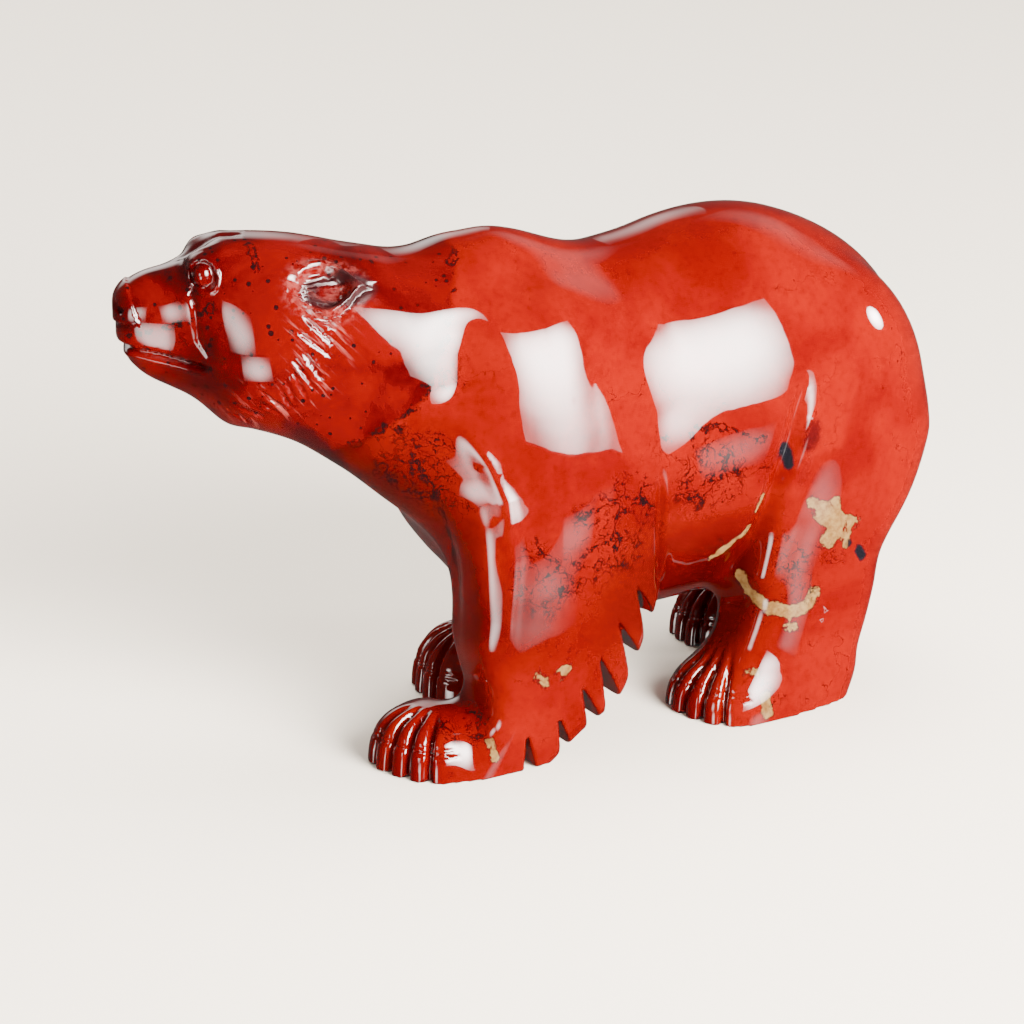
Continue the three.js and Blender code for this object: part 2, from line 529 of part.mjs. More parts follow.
// Facets are merged, cheapest first by how far the surface would move, until few enough are left
function thin(p, t, wanted, importance) {
  const vertices = p.length / 3;
  const gone = new Uint8Array(vertices);
  const version = new Int32Array(vertices);
  const dead = new Uint8Array(t.length / 3);
  const fan = Array.from({ length: vertices }, () => []);
  const planes = new Float64Array(vertices * 10);
  const spot = v => [p[3 * v], p[3 * v + 1], p[3 * v + 2]];
  const normal = (a, b, c) => {
    const [ux, uy, uz] = [b[0] - a[0], b[1] - a[1], b[2] - a[2]];
    const [vx, vy, vz] = [c[0] - a[0], c[1] - a[1], c[2] - a[2]];
    return [uy * vz - uz * vy, uz * vx - ux * vz, ux * vy - uy * vx];
  };
  const corners = f => [t[3 * f], t[3 * f + 1], t[3 * f + 2]];
  for (let f = 0; f < dead.length; f += 1) {
    const [a, b, c] = corners(f);
    const n = normal(spot(a), spot(b), spot(c));
    const size = hypot(...n) || 1e-12;
    const [nx, ny, nz] = n.map(v => v / size);
    const d = -(nx * p[3 * a] + ny * p[3 * a + 1] + nz * p[3 * a + 2]);
    const w = (size / 2) * importance(...spot(a));
    const q = [nx * nx, nx * ny, nx * nz, nx * d, ny * ny, ny * nz, ny * d, nz * nz, nz * d, d * d];
    for (const v of [a, b, c]) {
      fan[v].push(f);
      for (let i = 0; i < 10; i += 1) planes[10 * v + i] += q[i] * w;
    }
  }
  const cost = (q, [x, y, z]) => {
    const xx = q[0] * x * x + 2 * q[1] * x * y + 2 * q[2] * x * z + 2 * q[3] * x;
    return xx + q[4] * y * y + 2 * q[5] * y * z + 2 * q[6] * y + q[7] * z * z + 2 * q[8] * z + q[9];
  };
  const merge = (a, b) => {
    const q = Array.from({ length: 10 }, (_, i) => planes[10 * a + i] + planes[10 * b + i]);
    const pa = spot(a);
    const pb = spot(b);
    const long = (pa[0] - pb[0]) ** 2 + (pa[1] - pb[1]) ** 2 + (pa[2] - pb[2]) ** 2;
    let at = pa.map((v, i) => (v + pb[i]) / 2);
    const [xx, xy, xz, , yy, yz, , zz] = q;
    const cx = yy * zz - yz * yz;
    const cy = xy * zz - yz * xz;
    const cz = xy * yz - yy * xz;
    const det = xx * cx - xy * cy + xz * cz;
    if (abs(det) > 1e-9 * abs(xx * yy * zz + 1e-12)) {
      const [r, s, u] = [-q[3], -q[6], -q[8]];
      const best = [
        (r * cx - xy * (s * zz - yz * u) + xz * (s * yz - yy * u)) / det,
        (xx * (s * zz - yz * u) - r * cy + xz * (xy * u - s * xz)) / det,
        (xx * (yy * u - s * yz) - xy * (xy * u - s * xz) + r * cz) / det,
      ];
      if ((best[0] - at[0]) ** 2 + (best[1] - at[1]) ** 2 + (best[2] - at[2]) ** 2 < long) at = best;
    }
    return { a, b, at, e: max(cost(q, at), 0) + 1e-7 * long, va: version[a], vb: version[b] };
  };
  const heap = [];
  const push = item => {
    let i = heap.length;
    heap.push(item);
    while (i > 0) {
      const up = (i - 1) >> 1;
      if (heap[up].e <= item.e) break;
      heap[i] = heap[up];
      i = up;
    }
    heap[i] = item;
  };
  const pop = () => {
    const first = heap[0];
    const item = heap.pop();
    const n = heap.length;
    if (n === 0) return first;
    let i = 0;
    for (let c = 1; c < n; c = 2 * i + 1) {
      if (c + 1 < n && heap[c + 1].e < heap[c].e) c += 1;
      if (heap[c].e >= item.e) break;
      heap[i] = heap[c];
      i = c;
    }
    heap[i] = item;
    return first;
  };
  const around = v => {
    const set = new Set(fan[v].filter(f => !dead[f]).flatMap(corners));
    set.delete(v);
    return set;
  };
  // A merge may neither fold a facet over nor leave a sliver
  const spoils = (v, other, at) => fan[v].some(f => {
    if (dead[f]) return false;
    const c = corners(f);
    if (c.includes(other)) return false;
    const before = normal(...c.map(spot));
    const moved = c.map(w => (w === v ? at : spot(w)));
    const after = normal(...moved);
    const dot = before[0] * after[0] + before[1] * after[1] + before[2] * after[2];
    const size = hypot(...after);
    if (size < 1e-4 || dot < 0.3 * hypot(...before) * size) return true;
    const [e0, e1, e2] = moved;
    const sides = [[e0, e1], [e1, e2], [e2, e0]].map(([g, h]) => (
      (g[0] - h[0]) ** 2 + (g[1] - h[1]) ** 2 + (g[2] - h[2]) ** 2
    ));
    return size < 0.06 * max(...sides);
  });
  for (let f = 0; f < dead.length; f += 1) {
    const [a, b, c] = corners(f);
    for (const [v, w] of [[a, b], [b, c], [c, a]]) if (v < w) push(merge(v, w));
  }
  let left = dead.length;
  while (left > wanted && heap.length > 0) {
    const { a, b, at, va, vb } = pop();
    if (gone[a] || gone[b] || version[a] !== va || version[b] !== vb) continue;
    const beside = around(b);
    if ([...around(a)].filter(v => beside.has(v)).length !== 2) continue;
    if (spoils(a, b, at) || spoils(b, a, at)) continue;
    for (let i = 0; i < 3; i += 1) p[3 * a + i] = at[i];
    for (let i = 0; i < 10; i += 1) planes[10 * a + i] += planes[10 * b + i];
    gone[b] = 1;
    version[a] += 1;
    for (const f of fan[b].filter(g => !dead[g])) {
      if (corners(f).includes(a)) {
        dead[f] = 1;
        left -= 1;
        continue;
      }
      for (let i = 0; i < 3; i += 1) if (t[3 * f + i] === b) t[3 * f + i] = a;
      fan[a].push(f);
    }
    fan[a] = fan[a].filter(f => !dead[f]);
    for (const v of around(a)) push(merge(min(a, v), max(a, v)));
  }
  const names = new Map();
  const points = [];
  const faces = [];
  for (let f = 0; f < dead.length; f += 1) {
    if (dead[f]) continue;
    for (const v of corners(f)) {
      if (!names.has(v)) {
        names.set(v, points.length / 3);
        points.push(...spot(v));
      }
      faces.push(names.get(v));
    }
  }
  return [points, faces];
}

// Paws, then head, keep the finest facets
function importance(x, y, z) {
  const [sx] = straighten(x, y);
  if (sx < -44 * scale) return headFacetShare;
  return z < 12 * scale ? pawFacetShare : 1;
}

const low = [-92, -30, -4].map(v => v * scale);
const high = [60, 34, 94].map(v => v * scale);
const [fine, fineFaces] = wrap(low, high, gridStep * scale);
const [points, faces] = thin(fine, fineFaces, facets, importance);

// The soles are sawn flat on the ground
const wasm = await Module();
wasm.setup();
const { Manifold, Mesh } = wasm;
const carved = new Manifold(new Mesh({
  numProp: 3,
  vertProperties: Float32Array.from(points),
  triVerts: Uint32Array.from(faces),
}));
const sawn = carved.trimByPlane([0, 0, 1], 0);
const { min: near, max: far } = sawn.boundingBox();
const bear = sawn.translate([-(near[0] + far[0]) / 2, -(near[1] + far[1]) / 2, 0]);
const mesh = bear.getMesh();

const geometry = new THREE.BufferGeometry();
geometry.setAttribute('position', new THREE.Float32BufferAttribute(mesh.vertProperties, 3));
geometry.setIndex([...mesh.triVerts]);
geometry.computeVertexNormals();

// Where two skins meet at a point, each is drawn back a hair so that the stone stays one clear body
const place = geometry.attributes.position;
const facing = geometry.attributes.normal;
const sharing = new Map();
for (let i = 0; i < place.count; i += 1) {
  const spot = [place.getX(i), place.getY(i), place.getZ(i)].map(v => Math.round(v / 0.004)).join();
  sharing.set(spot, [...(sharing.get(spot) ?? []), i]);
}
for (const i of [...sharing.values()].filter(list => list.length > 1).flat()) {
  const point = new THREE.Vector3().fromBufferAttribute(place, i);
  point.addScaledVector(new THREE.Vector3().fromBufferAttribute(facing, i), -seamGap / 2);
  place.setXYZ(i, point.x, point.y, max(0, point.z));
}
geometry.computeVertexNormals();
const stone = new THREE.MeshStandardMaterial({ color: 0xb8301c, roughness: 0.15, metalness: 0 });
const solid = new THREE.Mesh(geometry, stone);
solid.name = 'bear';

const group = new THREE.Group();
group.name = 'polar_bear_carving';
group.add(solid);

export default group;
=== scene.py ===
"""Polar bear carved from red jasper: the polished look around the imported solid.

Millimetres while carving, metres in Blender. +Z up, nose towards -X, left side towards -Y.
"""
import math

import bpy
import numpy as np
from bpy.props import FloatProperty, IntProperty, PointerProperty
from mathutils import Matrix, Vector


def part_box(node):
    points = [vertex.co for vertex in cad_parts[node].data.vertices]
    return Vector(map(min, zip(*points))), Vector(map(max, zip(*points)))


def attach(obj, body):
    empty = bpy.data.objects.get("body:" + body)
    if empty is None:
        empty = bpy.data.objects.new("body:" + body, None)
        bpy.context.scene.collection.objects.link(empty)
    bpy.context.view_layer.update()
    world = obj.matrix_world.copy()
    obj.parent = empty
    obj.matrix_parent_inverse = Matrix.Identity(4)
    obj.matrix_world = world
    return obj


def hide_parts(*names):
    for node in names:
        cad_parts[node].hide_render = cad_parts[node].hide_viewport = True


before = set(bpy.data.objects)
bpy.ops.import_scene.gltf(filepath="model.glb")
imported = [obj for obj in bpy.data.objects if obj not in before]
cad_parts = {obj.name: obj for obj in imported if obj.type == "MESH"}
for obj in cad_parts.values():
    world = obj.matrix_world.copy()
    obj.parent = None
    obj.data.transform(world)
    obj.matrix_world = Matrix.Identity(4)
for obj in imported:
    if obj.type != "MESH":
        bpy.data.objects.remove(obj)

bl_info = {
    "name": "Jasper polar bear",
    "blender": (4, 5, 0),
    "version": (1, 0, 0),
    "location": "View3D > Sidebar > Bear",
    "description": "Carves and polishes a jasper polar bear and sets it in a studio",
    "category": "Add Mesh",
}

MM = 0.001
DEGREE = math.pi / 180

# The neck bends on an arc
BEND_START = -28.0
BEND_ARC = 22.0
BEND_ANGLE = 24 * DEGREE
BEND_RADIUS = BEND_ARC / BEND_ANGLE

# Masses of stone: centre and three radii
RUMP = (19.6, 0, 51.2, 25.3, 21.2, 26.18)
BELLY = (3.8, 0, 45.1, 34, 20, 29.15)
CHEST = (-9.85, 0, 46.7, 18.9, 17.5, 25.9)
WITHERS = (-25, 0, 66.25, 14.8, 11, 14.17)
CROUP = (33.1, 0, 45.8, 17, 16, 21.8)
RUFF = (-56.9, 0, 64.92, 12.98, 12.6, 11.6)
BROW = (-66.6, 4.4, 78.8, 3.8, 2.8, 2.4)
EYEBALL = (-68.0, 6.3, 77.9, 1.45, 1.35, 1.7)
NOSTRIL = ((-81.6, 1.9, 73.2), (-79.9, 3.9, 72.0))
# Side, haunch, shoulder, the haunch seam and the shoulder tilt
SIDES = (
    (-1, (28.1, -10.8, 45.4, 20.25, 10.8, 24.75), (-17.8, -11.4, 46.5, 17.5, 9.8, 26), 3.0, 8),
    (1, (28.1, 10.8, 45.4, 20.25, 10.8, 24.75), (-17.5, 11, 47, 16.5, 9.8, 24), 5.0, 0),
)

# Head and neck along the straight neck
NECK_X = (-82.5, -80, -77, -73, -69, -65, -61, -55, -48, -42, -36, -30, -24)
CREST = (74.13, 75.25, 76.75, 78, 80.2, 82.27, 82.2, 81.67, 80.25, 79.1, 77.65, 76.5, 72)
THROAT = (66.7, 64.35, 61.5, 59.3, 57.4, 54.1, 53.6, 50.63, 45.95, 40.57, 35.25, 29, 24)
HALF_WIDTH = (4, 4.7, 5.6, 6.6, 8.2, 10.2, 11.4, 12.4, 13.3, 14, 15, 16, 17)
NOSE_TIP = -81.0
NECK_END = -24.0
# Where the ruff swells the head, and where the face begins
RUFF_REACH = -38
FACE_REACH = -62
# The head is about round here, so the ear is laid out by degrees about this axis
EAR_AXIS = 66.0
MM_PER_DEGREE = 0.26

# Legs: heights, then front and rear edge, outer and inner face at each
LEG_TOP = 46.0
FORE_Z = (0, 4, 8, 12, 16, 21, 26, 32, 42, 52)
FORE_OUTER = (-19, -19.5, -20, -20.4, -20.6, -20.7, -20.6, -20.4, -19.6, -17)
FORE_INNER = (-7.5, -7.2, -6.8, -6.4, -6, -5.4, -4.6, -3.6, -2, -2)
HIND_Z = (0, 4, 8, 12, 18, 24, 32, 42)
HIND_OUTER = (-21.2, -21.3, -21.2, -21, -21, -21, -21, -20)
HIND_INNER = (-6.5, -6, -5.6, -5.4, -5, -4.5, -3.8, -3)
LEGS = {
    "near_fore": {
        "z": FORE_Z, "outer": FORE_OUTER, "inner": FORE_INNER, "side": 1, "power": 4.6,
        "front": (-37, -35.65, -34, -33.92, -34.82, -35.6, -35.2, -35.2, -35, -31),
        "rear": (-22.45, -17.4, -11.3, -8.98, -7.25, -5.05, -3.87, -3.9, -5.2, -9),
    },
    "far_fore": {
        "z": FORE_Z, "outer": FORE_OUTER, "inner": FORE_INNER, "side": -1, "power": 4.6,
        "front": (-16, -16, -16, -17, -19, -23, -27, -31, -34, -31),
        "rear": (1, 3.5, 6.5, 8, 8.5, 8, 6.5, 3, -2, -8),
    },
    "near_hind": {
        "z": HIND_Z, "outer": HIND_OUTER, "inner": HIND_INNER, "side": 1, "power": 3.2,
        "front": (10.8, 10.4, 10.2, 11.38, 13.38, 13.63, 17.5, 22),
        "rear": (32, 33.5, 34.1, 35.45, 37, 37.9, 42, 46),
    },
    "far_hind": {
        "z": HIND_Z, "outer": HIND_OUTER, "inner": HIND_INNER, "side": -1, "power": 3.2,
        "front": (31, 30.5, 30.5, 31, 30, 27, 23, 22),
        "rear": (48, 49, 49, 49, 48.5, 48.5, 47.5, 47),
    },
}
# Toe front x and y, heading, length, width, height, and the seam to the body
LIMBS = (
    ("near_fore", -1, (-46.9, -11.5, 22.1, 16.85, 18.6, 9.05), 2.5),
    ("far_fore", 1, (-28.2, 16.6, -12, 19, 17, 10.68), 5.0),
    ("near_hind", -1, (3.8, -14.8, 16, 21.6, 19.4, 8.2), 6.0),
    ("far_hind", 1, (19.8, 14.6, -6, 22, 16.5, 10.6), 6.0),
)

# Carved lines, in the side view of the straight bear
TOE_WIDTH = 0.9
TOE_DEPTH = 1.25
CLAW_DEPTH = 0.28
FUR_DEPTH = 0.22
FRINGE = (
    (-11.0, 29.2, -8.6, 24.0), (-13.8, 23.0, -11.5, 18.4), (-16.6, 17.1, -14.6, 12.0),
    (-19.2, 11.9, -17.3, 7.4), (-22.9, 7.0, -21.6, 3.0), (-28.4, 5.2, -27.8, 1.2),
)
MOUTH = ((-84, 66.5), (-78.9, 66.3), (-74.6, 65.6), (-70.3, 64.6), (-67.4, 64.2))
FOLD = ((-69.4, 73.6), (-68.9, 68.6), (-67.5, 66.3), (-66.1, 65.8))
TEAR = ((-69.3, 76.2), (-69.9, 74.9), (-69.3, 73.6))
THIGH = (
    (19.3, 58.5), (18.4, 54.6), (17.2, 50.3), (16.0, 45.7), (14.7, 40.8),
    (13.7, 34.8), (12.9, 29.3), (11.6, 24.6), (10.4, 20.0),
)
WAIST_DEPTH = 0.8
WAIST = ((-5.0, 46.0), (-7.0, 54.0), (-10.5, 63.0), (-14.0, 71.0))
NAPE_DEPTH = 1.1
NAPE = ((-36.0, 57.0), (-37.5, 66.0), (-36.5, 74.0))
# Centre and reach in the side view, then how far it stands out
SHOULDER_SWELL = (-25.0, 34.0, 15.0, 1.8)
ELBOW = ((-6.9, 47.5), (-6.7, 43), (-6.3, 38), (-5.6, 31.4), (-4.6, 25))
RIDGE = ((-38.5, 57), (-34.3, 49.7), (-32.3, 44.2), (-31.9, 35.1), (-32.5, 27.2), (-33.1, 17))
FUR = (
    (-53.3, 74.3, -48.5, 70.6), (-54.0, 73.1, -49.0, 68.4), (-55.0, 71.0, -49.2, 66.6),
    (-54.0, 68.0, -50.9, 62.9), (-55.7, 67.3, -51.7, 61.1), (-55.8, 65.8, -53.4, 60.2),
    (-56.8, 64.3, -55.0, 59.6), (-57.4, 62.2, -55.8, 58.8), (-61.2, 62.6, -56.1, 58.2),
    (-60.8, 60.1, -57.3, 57.8), (-63.9, 59.2, -59.4, 56.9), (-64.4, 57.7, -61.3, 55.5),
)

# The box that is searched for the surface, and how many points are worked out at a time
SEARCH_LOW = (-84.0, -28.0, -3.0)
SEARCH_HIGH = (56.0, 30.0, 87.0)
SLICE = 400000
# Below this height a point belongs to a flat sole
SOLE_HEIGHT = 0.02

# Markings of the stone, and zones where shade is painted, in the imported solid's frame
SHIFT = (14.17, -0.18)
# Height and x of the edge between the red body and the crimson head
HEAD_EDGE = (
    (40.0, -52.0), (48.0, -44.0), (52.7, -37.3), (56.2, -32.7), (59.9, -27.9),
    (64.9, -25.5), (69.7, -23.3), (74.7, -21.2), (79.1, -17.9), (84.0, -15.0),
)
# Half width, then the points of each line
CREAM = (
    (1.5, (37.6, -22.0, 33.2), (40.2, -22.2, 31.2), (39.1, -21.8, 28.6)),
    (0.7, (35.4, -21.8, 35.4), (38.5, -22.0, 32.0), (43.8, -22.1, 31.0)),
    (0.6, (39.4, -22.3, 35.0), (40.0, -22.0, 31.0), (42.2, -21.7, 27.2)),
    (0.9, (26.5, -15.6, 22.8), (27.8, -16.6, 20.1), (29.1, -18.9, 18.4), (31.8, -20.6, 17.4)),
    (0.9, (31.8, -20.6, 17.4), (34.3, -21.0, 17.3), (36.1, -21.1, 18.3), (36.9, -21.2, 19.8)),
    (0.5, (32.1, -20.8, 14.8), (33.4, -20.8, 14.4)),
    (0.55, (20.6, -16.5, 27.6), (23.1, -17.8, 29.6), (25.7, -19.2, 31.9)),
    (0.35, (27.6, -21.7, 38.6), (26.3, -20.6, 36.9), (26.1, -20.5, 34.9)),
    (0.8, (-13.6, -21.1, 16.2), (-11.8, -21.1, 14.8), (-9.8, -21.1, 15.2), (-8.0, -21.2, 16.8)),
    (0.4, (-20.2, -18.6, 5.7), (-19.7, -19.4, 3.3)),
    (0.7, (27.4, -22.1, 4.4), (27.7, -22.6, 1.6)),
    (0.4, (25.0, -20.1, 8.4), (26.8, -20.6, 8.0)),
    (1.1, (6.0, 20.5, 31.0), (9.0, 21.0, 28.5), (10.5, 20.8, 25.5)),
    (0.9, (38.0, 22.0, 40.0), (42.0, 21.5, 37.5), (43.5, 21.2, 34.0)),
    (0.7, (44.0, 21.0, 30.0), (45.5, 20.8, 27.0)),
)
VEINS = (
    (0.22, (-17.9, -4.4, 79.1), (-21.2, -9.5, 74.7), (-23.3, -12.4, 69.7), (-25.5, -13.4, 64.9),
     (-27.9, -13.2, 59.9), (-32.7, -11.1, 56.2), (-37.3, -7.1, 52.7)),
    (0.25, (-46.8, 5.1, 81.6), (-47.4, 2.7, 80.3), (-47.6, 1.0, 79.0)),
    (0.3, (-63.6, 11.6, 68.7), (-60.0, 8.7, 69.7), (-56.6, 5.6, 71.5), (-54.4, 3.4, 73.6)),
    (0.3, (-31.3, -11.6, 55.4), (-28.1, -11.8, 48.6), (-24.9, -12.1, 43.4), (-21.4, -10.2, 32.6)),
    (0.3, (-4.5, -21.4, 42.7), (-0.9, -21.3, 38.8), (3.5, -21.2, 39.6)),
    (0.35, (-0.9, -21.3, 38.8), (0.3, -20.9, 34.4), (5.0, -20.5, 31.0)),
    (0.22, (-12.5, -20.4, 43.8), (-14.2, -20.3, 34.6), (-11.0, -20.9, 21.3)),
    (0.2, (7.7, -21.3, 50.0), (13.0, -21.4, 50.7), (18.1, -21.9, 50.8), (24.8, -22.8, 47.5)),
    (0.25, (13.0, -21.4, 50.7), (14.8, -21.6, 44.1), (20.8, -18.4, 30.6)),
)
INCLUSIONS = (
    (0.9, (29.7, -22.7, 45.3), (30.1, -22.7, 42.5)),
    (0.5, (44.7, -21.5, 25.8), (45.7, -21.1, 24.2)),
    (0.3, (42.6, -21.5, 27.4), (42.8, -21.5, 27.0)),
)
MAROON = (
    (1.6, (34.3, -22.8, 47.6), (34.0, -22.8, 45.8)),
    (2.6, (-46.0, -4.0, 54.5), (-38.0, -2.0, 50.0), (-33.0, 0.0, 45.0)),
)
# Share, reach and centre of the zones of painted shade, under the belly, on the chest and legs and under the
# chin, then of the broken ones
SHADE_ZONES = (
    (0.8, 15.0, (6.0, -16.0, 26.0)), (0.9, 13.0, (20.0, -15.0, 24.0)), (0.85, 13.0, (-33.0, -8.0, 42.0)),
    (0.8, 10.0, (-41.0, -7.0, 53.0)), (0.4, 10.0, (22.0, -12.0, 13.0)), (0.6, 9.0, (-16.0, -20.0, 25.0)),
    (0.5, 14.0, (2.0, 14.0, 26.0)), (0.8, 12.0, (-30.0, 10.0, 42.0)), (0.7, 10.0, (-62.0, 2.0, 58.0)),
)
CRACKLE = (
    (0.55, 10.0, (-28.0, -12.0, 49.0)),
    (0.75, 9.0, (0.0, -21.0, 38.0)),
    (0.5, 10.0, (-12.0, -20.0, 32.0)),
    (0.55, 10.0, (17.0, -20.0, 44.0)),
    (0.45, 9.0, (33.0, -21.0, 24.0)),
    (0.45, 7.0, (-24.0, -16.0, 6.0)),
    (0.4, 7.0, (-26.0, -12.0, 62.0)),
    (0.3, 9.0, (-56.0, 6.0, 70.0)),
    (0.45, 12.0, (5.0, 20.0, 40.0)),
    (0.4, 10.0, (40.0, 19.0, 30.0)),
    (0.35, 9.0, (30.0, -21.0, 6.0)),
)

# Colours of the stone, as sRGB
BODY_RED = "#4A0000"
BODY_ORANGE = "#5C0500"
# The deep red also paints the shade under the belly, on the chest and legs and under the chin
BODY_DEEP = "#200000"
HEAD_RED = "#4C0101"
HEAD_DEEP = "#2C0001"
# Maroon also paints the shade in the ear's hollow
MAROON_COLOUR = "#1A0306"
CREAM_PALE = "#66502F"
CREAM_TAN = "#50351A"
VEIN_COLOUR = "#070304"
INCLUSION_COLOUR = "#0B0A0F"
# A pale pink for the chalky halo round the ear, and for the highlights painted along the fur
CHALK_AND_HIGHLIGHT = "#743430"
STONE_IOR = 1.54
STONE_SHINE = 0.5
# In millimetres
WAVE_DEPTH = 0.05
HAIR_LENGTH = 6.0
HAIR_WIDTH = 0.6
HAIR_SLANT = 50 * DEGREE

# Studio, in metres
FLOOR_COLOUR = "#F1E9DA"
AIR_COLOUR = "#F2EFEA"
AIR_STRENGTH = 0.14
LIGHT_COLOUR = "#FFF8F2"
CAMERA_AT = (-0.27771, -0.47146, 0.23231)
CAMERA_AIM = (0.00417, 0.01692, 0.0271)
LENS_MM = 131.84
SENSOR_MM = 36.0
FLOOR_DROP = 0.02 * MM
FLOOR_ROUGHNESS = 0.6
# Brightness in the middle of a softbox's cloth above that at its edges, then that at its edges
CLOTH_GLOW = (2.4, 0.12)
# Softboxes that stand higher than this only fill, and aren't mirrored in the polish
MIRRORED_BELOW = 1.0
# Name, bearing in degrees, distance, height, the height it faces, its width and height, brightness
# The two below the floor's level show only as low reflections on the legs
SOFTBOXES = (
    ("key_softbox", 14.0, 0.6, 0.30, 0.30, 0.50, 0.60, 45.0),
    ("low_softbox", -55, 0.5, -0.10, 0.03, 0.20, 0.24, 8.0),
    ("back_softbox", 117, 1.1, 0.90, 0.05, 1.10, 0.60, 0.35),
    ("far_softbox", 172, 1.0, 0.45, 0.05, 0.90, 0.60, 1.6),
    ("low_front_softbox", 19, 0.5, -0.16, 0.03, 0.23, 0.15, 1.7),
    ("side_softbox", -64, 0.645, 0.14, 0.14, 0.22, 0.26, 7.0),
    ("small_spot", 68, 1.0, 0.28, 0.05, 0.18, 0.18, 50.0),
    ("top_softbox", 150, 0.35, 1.45, 0.0, 1.8, 1.4, 6.0),
)


def join(a, b, k):
    """The union of two signed distances, with a seam rounded over k."""
    h = np.maximum(k - np.abs(a - b), 0.0) / k
    return np.minimum(a, b) - h * h * k * 0.25


def carve(a, b, k):
    """a with b cut out of it, with an edge rounded over k."""
    return -join(-a, b, k)


def ramp(a, b, t):
    """0 before a, 1 after b, smooth in between."""
    u = np.clip((t - a) / (b - a), 0.0, 1.0)
    return u * u * (3 - 2 * u)


def bell(t):
    """1 at 0, falling away smoothly on both sides."""
    return np.exp(-t * t)


def mass(x, y, z, table, tilt=0.0):
    """Distance to a rounded mass: centre, three radii, tilt in the side view in degrees."""
    cx, cy, cz, rx, ry, rz = table
    c, s = math.cos(tilt * DEGREE), math.sin(tilt * DEGREE)
    dx, dz = x - cx, z - cz
    a, b, h = (dx * c + dz * s) / rx, (y - cy) / ry, (dz * c - dx * s) / rz
    near = np.sqrt(a * a + b * b + h * h)
    slope = np.sqrt((a / rx) ** 2 + (b / ry) ** 2 + (h / rz) ** 2)
    return near * (near - 1) / np.maximum(slope, 1e-9)


def rod(x, y, z, a, b, ra, rb):
    """Distance to a tapering round rod from a to b."""
    d = [b[i] - a[i] for i in range(3)]
    p = [x - a[0], y - a[1], z - a[2]]
    t = np.clip(sum(p[i] * d[i] for i in range(3)) / sum(v * v for v in d), 0, 1)
    return np.sqrt(sum((p[i] - t * d[i]) ** 2 for i in range(3))) - (ra + (rb - ra) * t)


def profile(t, ts, vs):
    """A smooth profile through the values vs at the stations ts."""
    ts, vs = np.asarray(ts, float), np.asarray(vs, float)
    rise = np.diff(vs) / np.diff(ts)
    slopes = np.empty(len(vs))
    slopes[0], slopes[-1] = rise[0], rise[-1]
    slopes[1:-1] = np.where(rise[:-1] * rise[1:] <= 0, 0.0, (rise[:-1] + rise[1:]) / 2)
    t = np.clip(t, ts[0], ts[-1])
    i = np.clip(np.searchsorted(ts, t, side="right") - 1, 0, len(ts) - 2)
    h = ts[i + 1] - ts[i]
    u = (t - ts[i]) / h
    v = 1 - u
    ends = v * v * (1 + 2 * u) * vs[i] + u * u * (3 - 2 * u) * vs[i + 1]
    return ends + u * v * h * (v * slopes[i] - u * slopes[i + 1])


def section(dx, dy, hx, hy, power):
    """Distance to a rounded oblong section; a higher power gives squarer corners."""
    q = ((np.abs(dx) / hx) ** power + (np.abs(dy) / hy) ** power) ** (1 / power)
    return np.hypot(dx, dy) * (1 - 1 / np.maximum(q, 1e-6))


def line(x, z, points):
    """Distance in the side view to a bent line, and the share of its length at the nearest point."""
    nearest, place, passed = np.full(x.shape, 1e9), np.zeros(x.shape), 0.0
    for (ax, az), (bx, bz) in zip(points, points[1:]):
        dx, dz = bx - ax, bz - az
        length = math.hypot(dx, dz)
        t = np.clip(((x - ax) * dx + (z - az) * dz) / (length * length), 0, 1)
        d = np.hypot(x - ax - t * dx, z - az - t * dz)
        closer = d < nearest
        nearest = np.where(closer, d, nearest)
        place = np.where(closer, passed + t * length, place)
        passed += length
    return nearest, place / passed


def straighten(x, y):
    """The neck bends on an arc: takes points of the bear to the bear with a straight neck."""
    dx, dy = BEND_START - x, BEND_RADIUS - y
    angle = np.arctan2(dx, dy)
    c, s = math.cos(BEND_ANGLE), math.sin(BEND_ANGLE)
    on_arc = angle <= BEND_ANGLE
    sx = np.where(on_arc, BEND_START - BEND_RADIUS * angle, BEND_START - BEND_ARC - (dx * c - dy * s))
    sy = np.where(on_arc, BEND_RADIUS - np.hypot(dx, dy), BEND_RADIUS - (dx * s + dy * c))
    ahead = x < BEND_START
    return np.where(ahead, sx, x), np.where(ahead, sy, y)


def leg(x, y, z, name):
    """Distance to a leg given by its front, rear, outer and inner edges at each height."""
    t = LEGS[name]
    f, r = profile(z, t["z"], t["front"]), profile(z, t["z"], t["rear"])
    o, i = profile(z, t["z"], t["outer"]) * t["side"], profile(z, t["z"], t["inner"]) * t["side"]
    d = section(x - (f + r) / 2, y - (o + i) / 2, (r - f) / 2, np.abs(i - o) / 2, t["power"])
    return carve(d, LEG_TOP - z, 8.0)


